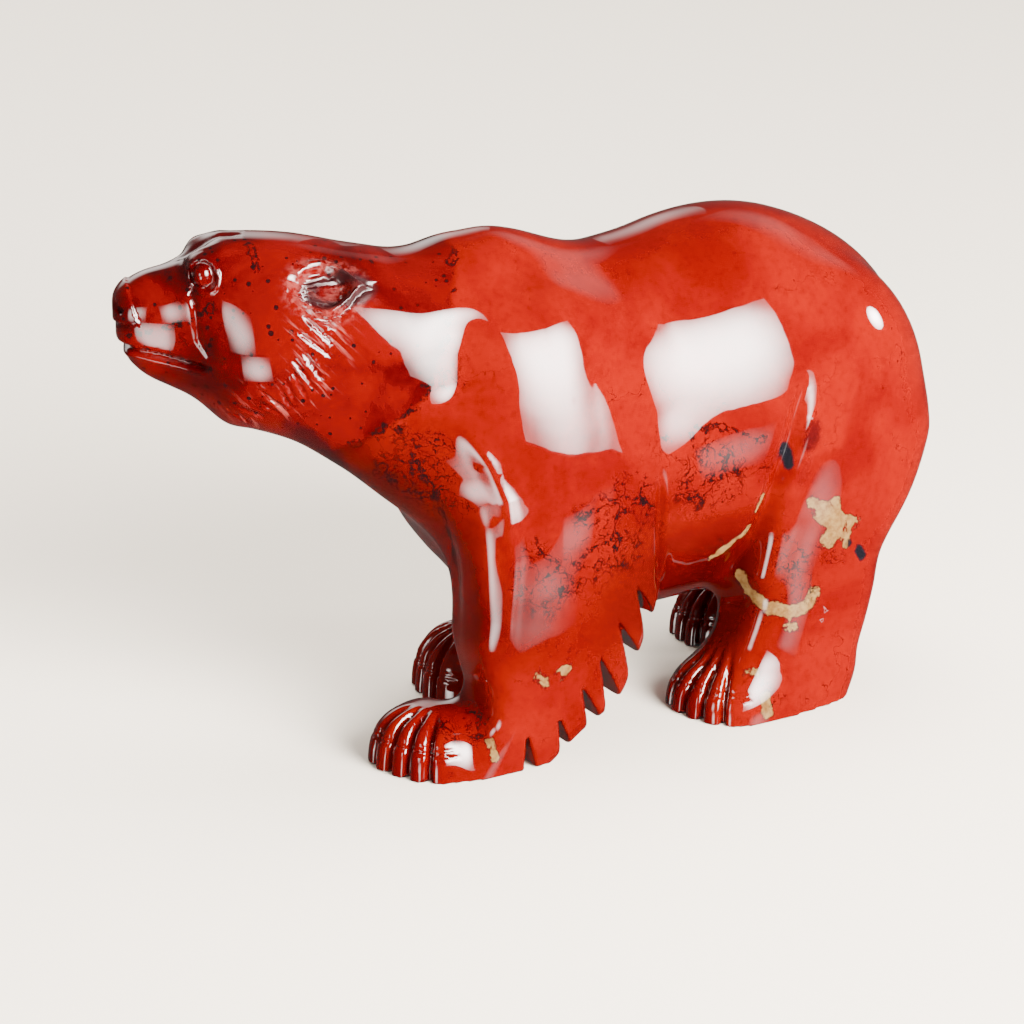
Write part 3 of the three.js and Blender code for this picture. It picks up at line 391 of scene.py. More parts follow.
def paw(x, y, z, table):
    """Distance to a paw: toe front, heading, length, width, height; five toes, each with a claw."""
    tx, ty, heading, length, width, high = table
    fx, fy = -math.cos(heading * DEGREE), -math.sin(heading * DEGREE)
    dx, dy = x - tx, y - ty
    ahead, aside = dx * fx + dy * fy, dy * fx - dx * fy
    long, wide = length / 2, width / 2
    plan = ((np.abs(ahead + long) / long) ** 2.6 + (np.abs(aside) / wide) ** 2.6) ** (1 / 2.6)
    dome = (plan ** 2.6 + (np.abs(z + 0.8) / (high + 0.8)) ** 2.6) ** (1 / 2.6)
    reach = np.sqrt((ahead + long) ** 2 + aside ** 2 + (z + 0.8) ** 2)
    d = reach * (1 - 1 / np.maximum(dome, 1e-6))
    fan = wide + 3.0
    angle = np.arctan2(aside, ahead + fan)
    groove = np.clip(np.floor(angle / 0.3) + 0.5, -1.5, 1.5) * 0.3
    off = np.abs(angle - groove) * np.hypot(ahead + fan, aside)
    depth = TOE_DEPTH * bell(off / (TOE_WIDTH / 2)) + 0.3 * bell(off / 1.1)
    d = d + ramp(-7.5, -4.0, ahead) * depth
    claw = bell((z - 4.6 - ahead * 0.12) / 0.28) + 0.6 * bell((z - 5.5 - ahead * 0.12) / 0.28)
    d = d + CLAW_DEPTH * ramp(-5.5, -3.5, ahead) * claw
    clear = np.sqrt(
        np.maximum(0, np.abs(ahead + long) - long) ** 2
        + np.maximum(0, np.abs(aside) - wide) ** 2
        + np.maximum(0, z - high) ** 2
    )
    return np.where(clear > 6, clear, d)


def cut_fringe(d, x, z):
    """The slots between the locks of fur behind the near foreleg."""
    for ax, az, bx, bz in FRINGE:
        length = math.hypot(bx - ax, bz - az)
        ux, uz = (bx - ax) / length, (bz - az) / length
        reach = (x - ax) * ux + (z - az) * uz
        off = np.abs((z - az) * ux - (x - ax) * uz)
        slot = np.maximum(off - 0.32 - 0.13 * reach, -reach - 0.32)
        d = carve(d, slot, 0.5)
    return d


def face_carving(sx, sy, z):
    """Carved lines of the muzzle and eyes, as a depth taken off the stone."""
    ay = np.abs(sy)
    off, place = line(sx, z, MOUTH)
    depth = 1.0 * bell(off / 0.5) * ramp(1, 0.93, place)
    under = z < 66.5 - (sx + 84) * 0.135
    depth -= 0.32 * bell((off - 1.0) / 0.5) * under * ramp(1, 0.9, place)
    pad = -79.1 + (75.6 - z) * 0.29
    depth -= 0.4 * ramp(0.25, -0.25, sx - pad) * ramp(70.0, 70.5, z)
    depth += 0.35 * bell((z - 69.9) / 0.35) * ramp(-78.6, -79.2, sx)
    middle = ramp(-79.8, -80.4, sx) * ramp(66, 67, z) * ramp(75.0, 74.0, z)
    depth += 0.45 * bell(sy / 0.35) * middle
    ex, ez = sx + 68.0, z - 77.9
    side = ramp(3.2, 4.6, ay)
    depth += side * 0.75 * bell(np.hypot(ex / 2.6, ez / 2.8))
    depth -= side * 0.45 * bell((np.hypot(ex / 1.9, ez / 2.15) - 1.12) / 0.16)
    depth += side * 0.4 * bell(line(sx, z, TEAR)[0] / 0.4)
    depth += 0.28 * bell(line(sx, z, FOLD)[0] / 0.55) * ramp(4, 6, ay)
    between = ramp(-60, -64, sx) * ramp(-73, -70, sx) * ramp(76, 79, z)
    depth += 0.5 * bell(sy / 1.1) * between
    return depth


def ear_carving(sx, sy, z):
    """The ear: a leaf laid back along the neck, with a raised rim, a hollow and combed hair."""
    ay = np.abs(sy)
    leaf = (sx + 54.2) / 9.0
    across = (np.arctan2(ay, z - EAR_AXIS) / DEGREE - 42.0) * MM_PER_DEGREE
    wave = np.sin(math.pi * np.minimum(1, leaf * 1.15))
    half = np.where(leaf <= 0, 3.0, np.where(leaf >= 1, 0.001, 3.0 + 2.1 * wave - 3.0 * leaf ** 3))
    inside = np.minimum(half - np.abs(across), (1 - leaf) * 5.5)
    rise = ramp(-0.1, 0.5, leaf)
    depth = -0.85 * bell((inside - 0.5) / 0.6) * rise * (0.35 + 0.65 * ramp(-4.5, 0, across))
    depth -= 0.35 * ramp(0, 0.7, inside) * rise * ramp(-5, -1, across)
    depth += 1.75 * ramp(0.8, 2.2, inside) * ramp(-0.25, 0.15, leaf)
    combed = np.cos(np.arctan2(across, sx + 58.5) * 46.5)
    depth += 0.18 * combed * ramp(0.9, 1.8, inside) * ramp(-0.1, 0.2, leaf)
    depth += 0.35 * bell((inside + 0.45) / 0.4) * rise
    return depth


def fur_carving(sx, sy, z):
    """Strokes of fur on the cheek below the ear, each with a low ridge beside it."""
    depth = np.zeros(sx.shape)
    for ax, az, bx, bz in FUR:
        off, place = line(sx, z, [(ax, az), (bx, bz)])
        depth += FUR_DEPTH * bell(off / 0.28) * ramp(0, 0.2, place) * ramp(1, 0.75, place)
        depth -= 0.3 * FUR_DEPTH * bell((off - 0.6) / 0.3) * ramp(0, 0.3, place) * ramp(1, 0.7, place)
    return depth * ramp(3.5, 5.0, np.abs(sy))


def body_carving(x, y, z):
    """The thigh, waist and elbow, the near shoulder and nape, and the ridge down the near foreleg."""
    off, place = line(x, z, THIGH)
    depth = 1.1 * bell(off / 1.5) * ramp(0, 0.25, place) * ramp(1, 0.85, place)
    behind = line(x - 3.2, z - 0.5, THIGH)[0]
    depth -= 0.55 * bell(behind / 1.9) * ramp(0.05, 0.35, place) * ramp(1, 0.9, place)
    off, place = line(x, z, WAIST)
    depth += WAIST_DEPTH * bell(off / 6.0) * ramp(0, 0.3, place) * ramp(1, 0.6, place)
    near = y < 0
    across, up, reach, swell = SHOULDER_SWELL
    depth -= near * swell * bell(np.hypot(x - across, z - up) / reach)
    off, place = line(x, z, NAPE)
    depth += near * NAPE_DEPTH * bell(off / 4.0) * ramp(0, 0.3, place) * ramp(1, 0.7, place)
    off, place = line(x, z, ELBOW)
    depth += near * 0.75 * bell(off / 0.8) * ramp(0, 0.35, place) * ramp(1, 0.9, place)
    off, place = line(x, z, RIDGE)
    depth -= near * 0.5 * bell(off / 1.3) * ramp(0, 0.2, place) * ramp(1, 0.8, place)
    return depth * ramp(10, 14, np.abs(y))


def on(mask, fn, *arrays):
    """fn of the arrays where the mask holds, for parts that reach only some of the points."""
    return fn(*[a[mask] for a in arrays])


def head_form(sx, sy, z):
    """Head and neck before carving."""
    station = np.clip(sx, NOSE_TIP, NECK_END)
    top, low = profile(station, NECK_X, CREST), profile(station, NECK_X, THROAT)
    d = section(sy, z - (top + low) / 2, profile(station, NECK_X, HALF_WIDTH), (top - low) / 2, 2.3)
    d = carve(d, -np.maximum(NOSE_TIP - sx, sx - NECK_END), 3.0)
    d = np.where(sx < RUFF_REACH, join(d, mass(sx, sy, z, RUFF, 15), 4.0), d)
    lip = carve(d, np.maximum(sx + 79.7, z - 66.3), 0.8)
    lip = join(lip, mass(sx, np.abs(sy), z, BROW, -8), 2.0)
    return np.where(sx < FACE_REACH, lip, d)


def eye_and_nostril(d, sx, sy, z):
    ay = np.abs(sy)
    d = join(d, mass(sx, ay, z, EYEBALL), 0.25)
    return carve(d, rod(sx, ay, z, *NOSTRIL, 0.62, 0.5), 0.35)


def bear(x, y, z):
    """The whole bear as one signed distance, in millimetres at the drawn length."""
    sx, sy = straighten(x, y)
    d = join(mass(sx, sy, z, RUMP), mass(sx, sy, z, BELLY), 12.0)
    d = join(d, mass(sx, sy, z, CHEST), 10.0)
    d = join(d, mass(sx, sy, z, WITHERS), 9.0)
    d = join(d, mass(x, y, z, CROUP), 10.0)
    for side, haunch, shoulder, seam, tilt in SIDES:
        m = y * side > -8
        limb = on(m, lambda *p: mass(*p, haunch), x, y, z)
        d[m] = join(d[m], limb, seam)
        limb = on(m, lambda *p: mass(*p, shoulder, tilt), x, y, z)
        d[m] = join(d[m], limb, 6.0)
    for name, side, paw_table, seam in LIMBS:
        m = (z < 60) & (y * side > -8)
        xs, ys, zs = x[m], y[m], z[m]
        limb = join(leg(xs, ys, zs, name), paw(xs, ys, zs, paw_table), 5.0)
        if name == "near_fore":
            limb = cut_fringe(limb, xs, zs)
        d[m] = join(d[m], limb, seam)
    m = sx < -12
    d[m] = join(d[m], on(m, head_form, sx, sy, z), 7.0)
    m = sx < FACE_REACH
    d[m] += on(m, face_carving, sx, sy, z)
    m = (sx > -58) & (sx < -41) & (z > 68)
    d[m] += on(m, ear_carving, sx, sy, z)
    m = (sx < -46) & (sx > -67) & (np.abs(sy) > 3)
    d[m] += on(m, fur_carving, sx, sy, z)
    m = sx < FACE_REACH
    d[m] = eye_and_nostril(d[m], sx[m], sy[m], z[m])
    m = (np.abs(y) > 9) & (x > -45)
    d[m] += on(m, body_carving, x, y, z)
    return np.maximum(d, -z)


def field(points):
    """bear() over an array of points, in slices that keep memory low."""
    out = np.empty(len(points))
    for start in range(0, len(points), SLICE):
        x, y, z = points[start:start + SLICE].T
        out[start:start + SLICE] = bear(x.copy(), y.copy(), z.copy())
    return out


def slopes(points, reach=0.02):
    """The direction in which the distance grows, at each point."""
    grad = np.empty_like(points)
    for axis in range(3):
        step = np.zeros(3)
        step[axis] = reach
        grad[:, axis] = (field(points + step) - field(points - step)) / (2 * reach)
    return grad


def settle(points, limit, passes):
    """Pulls points onto the surface."""
    for _ in range(passes):
        g = slopes(points)
        steep = np.maximum((g * g).sum(1), 1e-3)
        move = -field(points) / steep
        far = np.abs(move) * np.sqrt(steep)
        move *= np.minimum(1.0, limit / np.maximum(far, 1e-9))
        points = points + g * move[:, None]
    return points


def wrap(step):
    """Quads around the bear: one corner point in each grid cell that the surface crosses."""
    block = 8
    low, high = np.array(SEARCH_LOW), np.array(SEARCH_HIGH)
    cells = np.ceil((high - low) / step / block).astype(int) * block
    nodes = cells + 1
    values = np.full(nodes, 1000.0)
    ticks = [np.arange(0, n, block) for n in cells]
    starts = np.stack(np.meshgrid(*ticks, indexing="ij"), -1).reshape(-1, 3)
    middle = field(low + (starts + block / 2) * step)
    inner = starts[middle < 0]
    for i, j, k in inner:
        values[i:i + block + 1, j:j + block + 1, k:k + block + 1] = -1000.0
    near = starts[np.abs(middle) < block * step * 0.87 * 1.6]
    used = np.zeros(nodes, bool)
    for i, j, k in near:
        used[i:i + block + 1, j:j + block + 1, k:k + block + 1] = True
    at = np.argwhere(used)
    values[used] = field(low + at * step)
    inside = values < 0
    count = np.zeros(cells, np.int8)
    total = np.zeros((*cells, 3))
    corner = [(c & 1, (c >> 1) & 1, c >> 2) for c in range(8)]
    view = [values[a:a + cells[0], b:b + cells[1], c:c + cells[2]] for a, b, c in corner]
    for c in range(8):
        for bit in (1, 2, 4):
            if c & bit:
                continue
            va, vb = view[c], view[c | bit]
            cross = (va < 0) != (vb < 0)
            t = va[cross] / (va[cross] - vb[cross])
            a, b = np.array(corner[c], float), np.array(corner[c | bit], float)
            total[cross] += a + t[:, None] * (b - a)
            count[cross] += 1
    cell = np.argwhere(count > 0)
    number = np.full(cells, -1, np.int64)
    number[tuple(cell.T)] = np.arange(len(cell))
    points = low + (cell + total[tuple(cell.T)] / count[tuple(cell.T)][:, None]) * step
    quads = []
    for axis in range(3):
        u, v = [(1, 2), (2, 0), (0, 1)][axis]
        ahead = np.roll(inside, -1, axis)
        change = inside != ahead
        index = [slice(1, c) for c in cells]
        index[axis] = slice(0, cells[axis])
        spots = np.argwhere(change[tuple(index)])
        spots += [1 if a != axis else 0 for a in range(3)]
        eu, ev = np.eye(3, dtype=int)[u], np.eye(3, dtype=int)[v]
        ring = [number[tuple((spots - o).T)] for o in (eu + ev, ev, 0 * eu, eu)]
        quad = np.stack(ring, 1)
        outward = inside[tuple(spots.T)]
        quad[~outward] = quad[~outward][:, ::-1]
        quads.append(quad)
    return points, np.concatenate(quads)


def to_lines(points, lines):
    """Shortest distance in space from each point to any of the bent lines, less each line's half width."""
    best = np.full(len(points), 1e3)
    for half, *path in lines:
        for a, b in zip(path, path[1:] or path):
            a, b = np.array(a), np.array(b)
            d = b - a
            t = np.clip(((points - a) @ d) / max(d @ d, 1e-9), 0, 1)
            best = np.minimum(best, np.linalg.norm(points - a - t[:, None] * d, axis=1) - half)
    return best


def in_zones(points, zones):
    """The strongest of several soft round zones at each point, as a share."""
    return np.max([
        share * bell(np.linalg.norm((points - np.array(centre)) / reach, axis=1))
        for share, reach, centre in zones
    ], 0)


def on_ear(sx, sy, z, along, degrees, long, wide):
    """How far a point is from a spot on the ear: 1 at the edge of an oval, only on the head."""
    turn = np.arctan2(np.abs(sy), z - EAR_AXIS) / DEGREE - degrees
    oval = np.hypot((sx - along) / long, turn * MM_PER_DEGREE / wide)
    return np.where(sx < RUFF_REACH, oval, np.inf)


def markings(p):
    """What each point of the stone carries, in millimetres or as a share."""
    x, y, z = p.T
    height, ahead = zip(*HEAD_EDGE)
    marks = {"head": np.interp(z, height, ahead) - x}
    marks["cream"] = to_lines(p, CREAM)
    marks["vein"] = to_lines(p, VEINS)
    marks["inclusion"] = to_lines(p, INCLUSIONS)
    marks["maroon"] = to_lines(p, MAROON)
    # Painted shade: how far each point is darkened under the belly, on the chest and legs and under the chin
    marks["painted_shade"] = in_zones(p, SHADE_ZONES)
    marks["crackle"] = in_zones(p, CRACKLE)
    sx, sy = straighten(x - SHIFT[0], y - SHIFT[1])
    marks["halo"] = ramp(1.15, 0.8, on_ear(sx, sy, z, -50.5, 44.0, 6.2, 5.6))
    # The ear's hollow, where shade is painted and the polish is rougher
    hollow = on_ear(sx, sy, z, -49.0, 43.0, 5.4, 3.4)
    marks["hollow"] = ramp(1.1, 0.8, hollow) * (1 - 0.75 * ramp(0.6, 0.3, hollow))
    # Where highlights are painted along the fur strokes
    strokes = [bell(line(sx, z, [(ax, az), (bx, bz)])[0] / 1.5) for ax, az, bx, bz in FUR]
    marks["fur"] = np.max(strokes, 0) * ramp(3.5, 5.0, np.abs(sy))
    return marks


def linear(hex_colour):
    """A colour written as sRGB hex, as the linear values that Blender wants."""
    parts = [int(hex_colour[i:i + 2], 16) / 255 for i in (1, 3, 5)]
    return [c / 12.92 if c <= 0.04045 else ((c + 0.055) / 1.055) ** 2.4 for c in parts] + [1.0]


def node(tree, kind, inputs=None, **settings):
    """Adds a node, sets its properties, and sets or links its inputs."""
    made = tree.nodes.new(kind)
    for key, value in settings.items():
        setattr(made, key, value)
    for key, value in (inputs or {}).items():
        if isinstance(value, bpy.types.NodeSocket):
            tree.links.new(value, made.inputs[key])
        else:
            made.inputs[key].default_value = value
    return made


def calc(tree, operation, a, b=0.0, c=0.0):
    """One step of arithmetic."""
    return node(tree, "ShaderNodeMath", {0: a, 1: b, 2: c}, operation=operation).outputs[0]


def times(tree, a, b):
    return calc(tree, "MULTIPLY", a, b)


def highest(tree, a, b):
    return calc(tree, "MAXIMUM", a, b)


def frayed(tree, value, ragged, share):
    """A distance whose edge is frayed by a share of the ragged noise."""
    return calc(tree, "MULTIPLY_ADD", ragged, share, value)


def vector(tree, operation, a, b, output="Vector", at=1):
    """One step of arithmetic on vectors; b goes into the input numbered at."""
    return node(tree, "ShaderNodeVectorMath", {0: a, at: b}, operation=operation).outputs[output]


def soft_step(tree, value, low, high):
    """0 at low, 1 at high, smooth in between."""
    made = node(tree, "ShaderNodeMapRange", {"Value": value, "From Min": low, "From Max": high})
    made.interpolation_type = "SMOOTHSTEP"
    return made.outputs["Result"]


def blend(tree, share, a, b):
    """Colour a, with a share of colour b over it."""
    made = node(tree, "ShaderNodeMix", data_type="RGBA")
    for index, value in ((0, share), (6, a), (7, b)):
        if isinstance(value, bpy.types.NodeSocket):
            tree.links.new(value, made.inputs[index])
        else:
            made.inputs[index].default_value = value
    return made.outputs[2]


def mark(tree, name):
    """A marking that markings() wrote on the stone."""
    return node(tree, "ShaderNodeAttribute", attribute_name=name).outputs["Fac"]


def noise(tree, coords, scale, detail=4.0, roughness=0.55, distortion=0.0):
    return node(tree, "ShaderNodeTexNoise", {
        "Vector": coords, "Scale": scale, "Detail": detail, "Roughness": roughness, "Distortion": distortion,
    }).outputs["Fac"]


def cracks(tree, coords, scale, half_width):
    """Thin lines along the borders of broken grains, sharpest in the middle."""
    edge = node(tree, "ShaderNodeTexVoronoi", {"Vector": coords, "Scale": scale, "Randomness": 1.0},
                feature="DISTANCE_TO_EDGE").outputs["Distance"]
    return soft_step(tree, edge, half_width * scale, half_width * scale * 0.35)


def red_and_crimson(tree, coarse, fine, ragged):
    """The stone's ground: orange red, with shade painted darker under the belly, on the chest and legs and
    under the chin, and crimson ahead of a frayed edge.
    """
    red = blend(tree, soft_step(tree, coarse, 0.35, 0.65), linear(BODY_RED), linear(BODY_ORANGE))
    red = blend(tree, times(tree, soft_step(tree, fine, 0.45, 0.75), 0.25), red, linear(BODY_DEEP))
    # Painted shade, darkening the red low on the body and under the chin
    red = blend(tree, mark(tree, "painted_shade"), red, linear(BODY_DEEP))
    in_head = soft_step(tree, frayed(tree, mark(tree, "head"), ragged, 0.45), -0.8, 0.8)
    crimson = blend(tree, soft_step(tree, coarse, 0.4, 0.65), linear(HEAD_RED), linear(HEAD_DEEP))
    colour = blend(tree, in_head, red, crimson)
    maroon = soft_step(tree, frayed(tree, mark(tree, "maroon"), ragged, 0.6), 0.9, -0.9)
    return blend(tree, times(tree, maroon, 0.75), colour, linear(MAROON_COLOUR)), in_head


def cream_patches(tree, colour, fine, ragged):
    """Cream patches with a thin dark rim."""
    cream = frayed(tree, mark(tree, "cream"), ragged, 0.52)
    rim = times(tree, soft_step(tree, cream, 0.5, 0.15), 0.6)
    colour = blend(tree, rim, colour, linear(MAROON_COLOUR))
    pale = blend(tree, soft_step(tree, fine, 0.35, 0.7), linear(CREAM_PALE), linear(CREAM_TAN))
    return blend(tree, soft_step(tree, cream, 0.22, -0.05), colour, pale)


def healed_cracks(tree, colour, mm, coarse, fine, strength):
    """Dark healed cracks: placed ones, nets of fine ones where the stone is broken, and a few strays."""
    wander = calc(tree, "MULTIPLY_ADD", noise(tree, mm, 0.3, 5.0, 0.75), 6.0, -3.0)
    placed = calc(tree, "ABSOLUTE", frayed(tree, mark(tree, "vein"), wander, 0.8))
    near = soft_step(tree, mark(tree, "vein"), 2.2, 1.0)
    near = times(tree, near, soft_step(tree, fine, 0.36, 0.46))
    broken = times(tree, soft_step(tree, placed, 0.28, 0.08), near)

    stir = node(tree, "ShaderNodeTexNoise", {"Vector": mm, "Scale": 0.35, "Detail": 3.0}).outputs["Color"]
    centred = vector(tree, "SUBTRACT", stir, (0.5, 0.5, 0.5))
    stirred = vector(tree, "ADD", mm, vector(tree, "SCALE", centred, 8.0, at=3))
    patchy = calc(tree, "ADD", noise(tree, mm, 0.16, 4.0, 0.6), mark(tree, "crackle"))
    patchy = soft_step(tree, patchy, 0.74, 0.98)
    wide = highest(tree, cracks(tree, stirred, 0.1, 0.3), cracks(tree, stirred, 0.19, 0.2))
    net = highest(tree, wide, times(tree, cracks(tree, stirred, 0.38, 0.11), 0.7))
    net = times(tree, net, times(tree, patchy, soft_step(tree, fine, 0.41, 0.47)))
    stray = times(tree, cracks(tree, stirred, 0.085, 0.1), soft_step(tree, coarse, 0.5, 0.62))
    dark = highest(tree, highest(tree, broken, net), times(tree, stray, 0.6))
    return blend(tree, times(tree, dark, strength), colour, linear(VEIN_COLOUR))


def black_specks(tree, colour, mm, in_head):
    """Black specks, many on the head and neck and few on the body."""
    grain = node(tree, "ShaderNodeTexVoronoi", {"Vector": mm, "Scale": 0.75, "Randomness": 1.0})
    size = node(tree, "ShaderNodeSeparateColor", {0: grain.outputs["Color"]}).outputs[0]
    radius = times(tree, calc(tree, "POWER", size, 2.0), 0.32)
    speck = soft_step(tree, calc(tree, "SUBTRACT", grain.outputs["Distance"], radius), 0.02, -0.02)
    speck = times(tree, speck, highest(tree, in_head, 0.12))
    return blend(tree, times(tree, speck, 0.9), colour, linear(VEIN_COLOUR))


def ear_and_fur(tree, colour, mm, fine):
    """A chalky halo round the ear, painted shade in its hollow, and pale highlights painted along the
    cheek's fur strokes.
    """
    chalk = times(tree, mark(tree, "halo"), times(tree, soft_step(tree, fine, 0.42, 0.62), 0.6))
    colour = blend(tree, chalk, colour, linear(CHALK_AND_HIGHLIGHT))
    # Painted shade in the ear's hollow
    shade = times(tree, mark(tree, "hollow"), soft_step(tree, fine, 0.1, 0.45))
    colour = blend(tree, times(tree, shade, 0.92), colour, linear(MAROON_COLOUR))
    # Painted highlights: pale lines along the cheek's fur strokes
    along = node(tree, "ShaderNodeMapping", {
        "Vector": mm, "Rotation": (0.0, HAIR_SLANT, 0.0), "Scale": (HAIR_LENGTH, HAIR_LENGTH, HAIR_WIDTH),
    }, vector_type="TEXTURE").outputs[0]
    painted_hair_highlights = soft_step(tree, noise(tree, along, 1.0, 3.0, 0.6), 0.56, 0.66)
    painted_hair_highlights = times(tree, times(tree, painted_hair_highlights, mark(tree, "fur")), 0.7)
    return blend(tree, painted_hair_highlights, colour, linear(CHALK_AND_HIGHLIGHT))


def polished_jasper(settings):
    """Polished red jasper: an opaque stone that reads as glassy orange red, with a crimson head,
    dark healed cracks, black specks and cream patches, and takes sharp pale reflections."""
    material = bpy.data.materials.new("polished red jasper")
    material.use_nodes = True
    tree = material.node_tree
    tree.nodes.clear()
    place = node(tree, "ShaderNodeTexCoord").outputs["Object"]
    # Object coordinates in millimetres, so every scale below is per millimetre
    mm = vector(tree, "SCALE", place, 1 / MM, at=3)
    coarse = noise(tree, mm, 0.06, 5.0, 0.6, 0.6)
    fine = noise(tree, mm, 0.9, 6.0, 0.65)
    ragged = calc(tree, "MULTIPLY_ADD", noise(tree, mm, 0.55, 6.0, 0.7), 5.0, -2.5)
    colour, in_head = red_and_crimson(tree, coarse, fine, ragged)
    colour = cream_patches(tree, colour, fine, ragged)
    colour = healed_cracks(tree, colour, mm, coarse, fine, settings.vein_strength)
    lump = soft_step(tree, frayed(tree, mark(tree, "inclusion"), ragged, 0.15), 0.5, 0.1)
    colour = blend(tree, lump, colour, linear(INCLUSION_COLOUR))
    colour = black_specks(tree, colour, mm, in_head)
    colour = ear_and_fur(tree, colour, mm, fine)
    rough = calc(tree, "MULTIPLY_ADD", mark(tree, "hollow"), 0.3, settings.polish_roughness)

    # The polish leaves a faint waviness
    wave = noise(tree, mm, 0.12, 2.0)
    bump = node(tree, "ShaderNodeBump", {"Height": wave, "Strength": 1.0, "Distance": WAVE_DEPTH * MM})
    shader = node(tree, "ShaderNodeBsdfPrincipled", {
        "Base Color": colour, "Roughness": rough, "Normal": bump.outputs[0],
    })
    shader.inputs["IOR"].default_value = STONE_IOR
    shader.inputs["Specular IOR Level"].default_value = STONE_SHINE
    node(tree, "ShaderNodeOutputMaterial", {"Surface": shader.outputs[0]})
    return material


def plain_material(name, colour, roughness):
    """An even matt material, such as painted board."""
    material = bpy.data.materials.new(name)
    material.use_nodes = True
    shader = material.node_tree.nodes["Principled BSDF"]
    shader.inputs["Base Color"].default_value = linear(colour)
    shader.inputs["Roughness"].default_value = roughness
    return material


class BearSettings(bpy.types.PropertyGroup):
    """What can be set about the carving and its stone."""

    grid: FloatProperty(name="Grid", description="Size of the cells that the stone is faceted from",
                        default=0.5 * MM, unit="LENGTH", precision=5)
    triangles: IntProperty(name="Triangles", description="Most triangles kept on the bear", default=190000)
    vein_strength: FloatProperty(name="Veins", description="How dark the healed cracks are",
                                 default=0.95, subtype="FACTOR")
    polish_roughness: FloatProperty(name="Polish", description="Roughness of the polished stone",
                                    default=0.03, subtype="FACTOR")


class StageSettings(bpy.types.PropertyGroup):
    """What can be set about the studio."""

    floor_size: FloatProperty(name="Floor", description="Side of the pale floor", default=6.0, unit="LENGTH")
    light: FloatProperty(name="Light", description="Brightness of the softboxes", default=1.0)
    sky: FloatProperty(name="Sky", description="Brightness of the soft light all round", default=1.0)


class OBJECT_OT_bear(bpy.types.Operator):
    """Carve the jasper polar bear"""

    bl_idname = "object.jasper_bear"
    bl_label = "Carve bear"

    def execute(self, context):
        settings = context.scene.bear
        step = settings.grid / MM
        points, quads = wrap(step)
        points = settle(points, step / 2, 2)
        rough = new_mesh("rough bear", points * MM, quads)
        piece = bpy.data.objects.new("jasper_polar_bear", rough)
        context.scene.collection.objects.link(piece)
        fewer = piece.modifiers.new("fewer", "DECIMATE")
        fewer.ratio = min(1.0, settings.triangles / (2 * len(quads)))
        context.view_layer.update()
        thinned = bpy.data.meshes.new_from_object(piece.evaluated_get(context.evaluated_depsgraph_get()))
        piece.modifiers.clear()
        points = np.empty(len(thinned.vertices) * 3)
        thinned.vertices.foreach_get("co", points)
        points = settle(points.reshape(-1, 3) / MM, step / 3, 1)
        normals = slopes(points)
        normals[points[:, 2] < SOLE_HEIGHT] = (0, 0, -1)
        normals /= np.maximum(np.linalg.norm(normals, axis=1), 1e-9)[:, None]
        placed = to_frame(points)
        thinned.vertices.foreach_set("co", (placed * MM).ravel())
        for name, values in markings(placed).items():
            written = thinned.attributes.new(name, "FLOAT", "POINT")
            written.data.foreach_set("value", values.astype(np.float32))
        thinned.shade_smooth()
        thinned.normals_split_custom_set_from_vertices(normals.tolist())
        thinned.update()
        if len(thinned.polygons) < 1000:
            self.report({"ERROR"}, "The bear has no surface")
            raise RuntimeError("The bear has no surface")
        piece.data = thinned
        thinned.name = "jasper polar bear"
        bpy.data.meshes.remove(rough)
        thinned.materials.clear()
        thinned.materials.append(polished_jasper(settings))
        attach(piece, "root")
        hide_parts("bear")
        return {"FINISHED"}


def new_mesh(name, points, faces):
    mesh = bpy.data.meshes.new(name)
    mesh.from_pydata(points.tolist(), [], faces.tolist())
    mesh.update()
    return mesh


def to_frame(points):
    """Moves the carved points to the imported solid's place, and keeps them inside its box."""
    low, high = (np.array(corner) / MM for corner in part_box("bear"))
    mine_low, mine_high = points.min(0), points.max(0)
    size = (high - low) / (mine_high - mine_low)
    moved = low + (points - mine_low) * size
    moved[:, 2] = np.maximum(points[:, 2] * size[2], 0.0)
    return moved


def softbox(name, bearing, distance, height, facing, wide, high, brightness):
    """A softbox, round where it is as wide as high; bearing 0 is towards -Y, 90 towards +X."""
    light = bpy.data.lights.new(name, "AREA")
    light.shape = "ELLIPSE" if wide == high else "RECTANGLE"
    light.size, light.size_y = wide, high
    light.energy = brightness * math.pi * wide * high
    light.color = linear(LIGHT_COLOUR)[:3]
    # Brightest in the middle of the cloth and dimmer towards its edges
    light.use_nodes = True
    tree = light.node_tree
    cloth = node(tree, "ShaderNodeNewGeometry").outputs["Parametric"]
    from_middle = vector(tree, "DISTANCE", cloth, (0.5, 0.5, 0.0), output="Value")
    glow = calc(tree, "MULTIPLY_ADD", soft_step(tree, from_middle, 0.66, 0.05), *CLOTH_GLOW)
    tree.links.new(glow, tree.nodes["Emission"].inputs["Strength"])
    b = bearing * DEGREE
    lamp = bpy.data.objects.new(name, light)
    lamp.location = (distance * math.sin(b), -distance * math.cos(b), height)
    away = lamp.location - Vector((0, 0, facing))
    lamp.rotation_euler = away.to_track_quat("Z", "Y").to_euler()
    lamp.visible_glossy = height < MIRRORED_BELOW
    bpy.context.scene.collection.objects.link(lamp)
    return lamp


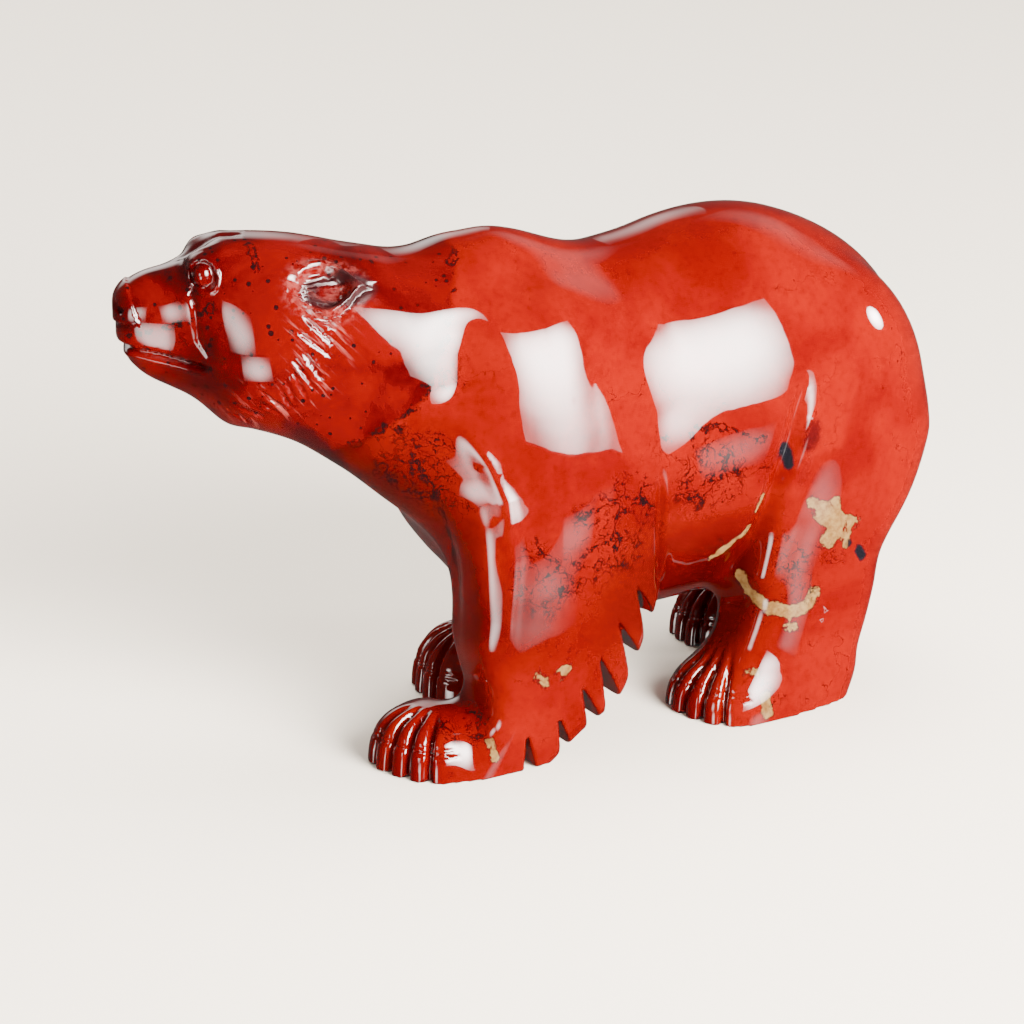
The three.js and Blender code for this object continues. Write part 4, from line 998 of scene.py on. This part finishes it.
class OBJECT_OT_bear_stage(bpy.types.Operator):
    """Set the floor, the softboxes and the camera"""

    bl_idname = "object.bear_stage"
    bl_label = "Set studio"

    def execute(self, context):
        settings = context.scene.bear_stage
        half = settings.floor_size / 2
        corners = np.array([(-half, -half), (half, -half), (half, half), (-half, half)])
        corners = np.column_stack([corners, np.full(4, -FLOOR_DROP)])
        floor = bpy.data.objects.new("pale_floor", new_mesh("pale floor", corners, np.array([[0, 1, 2, 3]])))
        floor.data.materials.append(plain_material("pale floor", FLOOR_COLOUR, FLOOR_ROUGHNESS))
        context.scene.collection.objects.link(floor)
        # The floor isn't mirrored in the polish, as if dark cards hid it
        floor.visible_glossy = False
        for *where, brightness in SOFTBOXES:
            softbox(*where, brightness * settings.light)
        world = bpy.data.worlds.new("studio air")
        context.scene.world = world
        world.use_nodes = True
        air = world.node_tree.nodes["Background"]
        air.inputs["Color"].default_value = linear(AIR_COLOUR)
        air.inputs["Strength"].default_value = AIR_STRENGTH * settings.sky
        eye = bpy.data.cameras.new("camera")
        eye.lens, eye.sensor_width = LENS_MM, SENSOR_MM
        camera = bpy.data.objects.new("camera", eye)
        camera.location = CAMERA_AT
        camera.rotation_euler = (Vector(CAMERA_AIM) - Vector(CAMERA_AT)).to_track_quat("-Z", "Y").to_euler()
        context.scene.collection.objects.link(camera)
        context.scene.camera = camera
        if context.scene.camera is None:
            raise RuntimeError("The scene has no camera")
        return {"FINISHED"}


class VIEW3D_PT_bear(bpy.types.Panel):
    """The bear's settings and buttons"""

    bl_label = "Jasper polar bear"
    bl_space_type = "VIEW_3D"
    bl_region_type = "UI"
    bl_category = "Bear"

    def draw(self, context):
        layout = self.layout
        for group, names in (
            (context.scene.bear, ("grid", "triangles", "vein_strength", "polish_roughness")),
            (context.scene.bear_stage, ("floor_size", "light", "sky")),
        ):
            for name in names:
                layout.prop(group, name)
        layout.operator(OBJECT_OT_bear.bl_idname)
        layout.operator(OBJECT_OT_bear_stage.bl_idname)


CLASSES = (BearSettings, StageSettings, OBJECT_OT_bear, OBJECT_OT_bear_stage, VIEW3D_PT_bear)


def register():
    for cls in CLASSES:
        bpy.utils.register_class(cls)
    bpy.types.Scene.bear = PointerProperty(type=BearSettings)
    bpy.types.Scene.bear_stage = PointerProperty(type=StageSettings)


def unregister():
    del bpy.types.Scene.bear_stage
    del bpy.types.Scene.bear
    for cls in reversed(CLASSES):
        bpy.utils.unregister_class(cls)


def main():
    register()
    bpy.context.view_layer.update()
    bpy.ops.object.jasper_bear()
    bpy.ops.object.bear_stage()


if __name__ == "__main__":
    main()
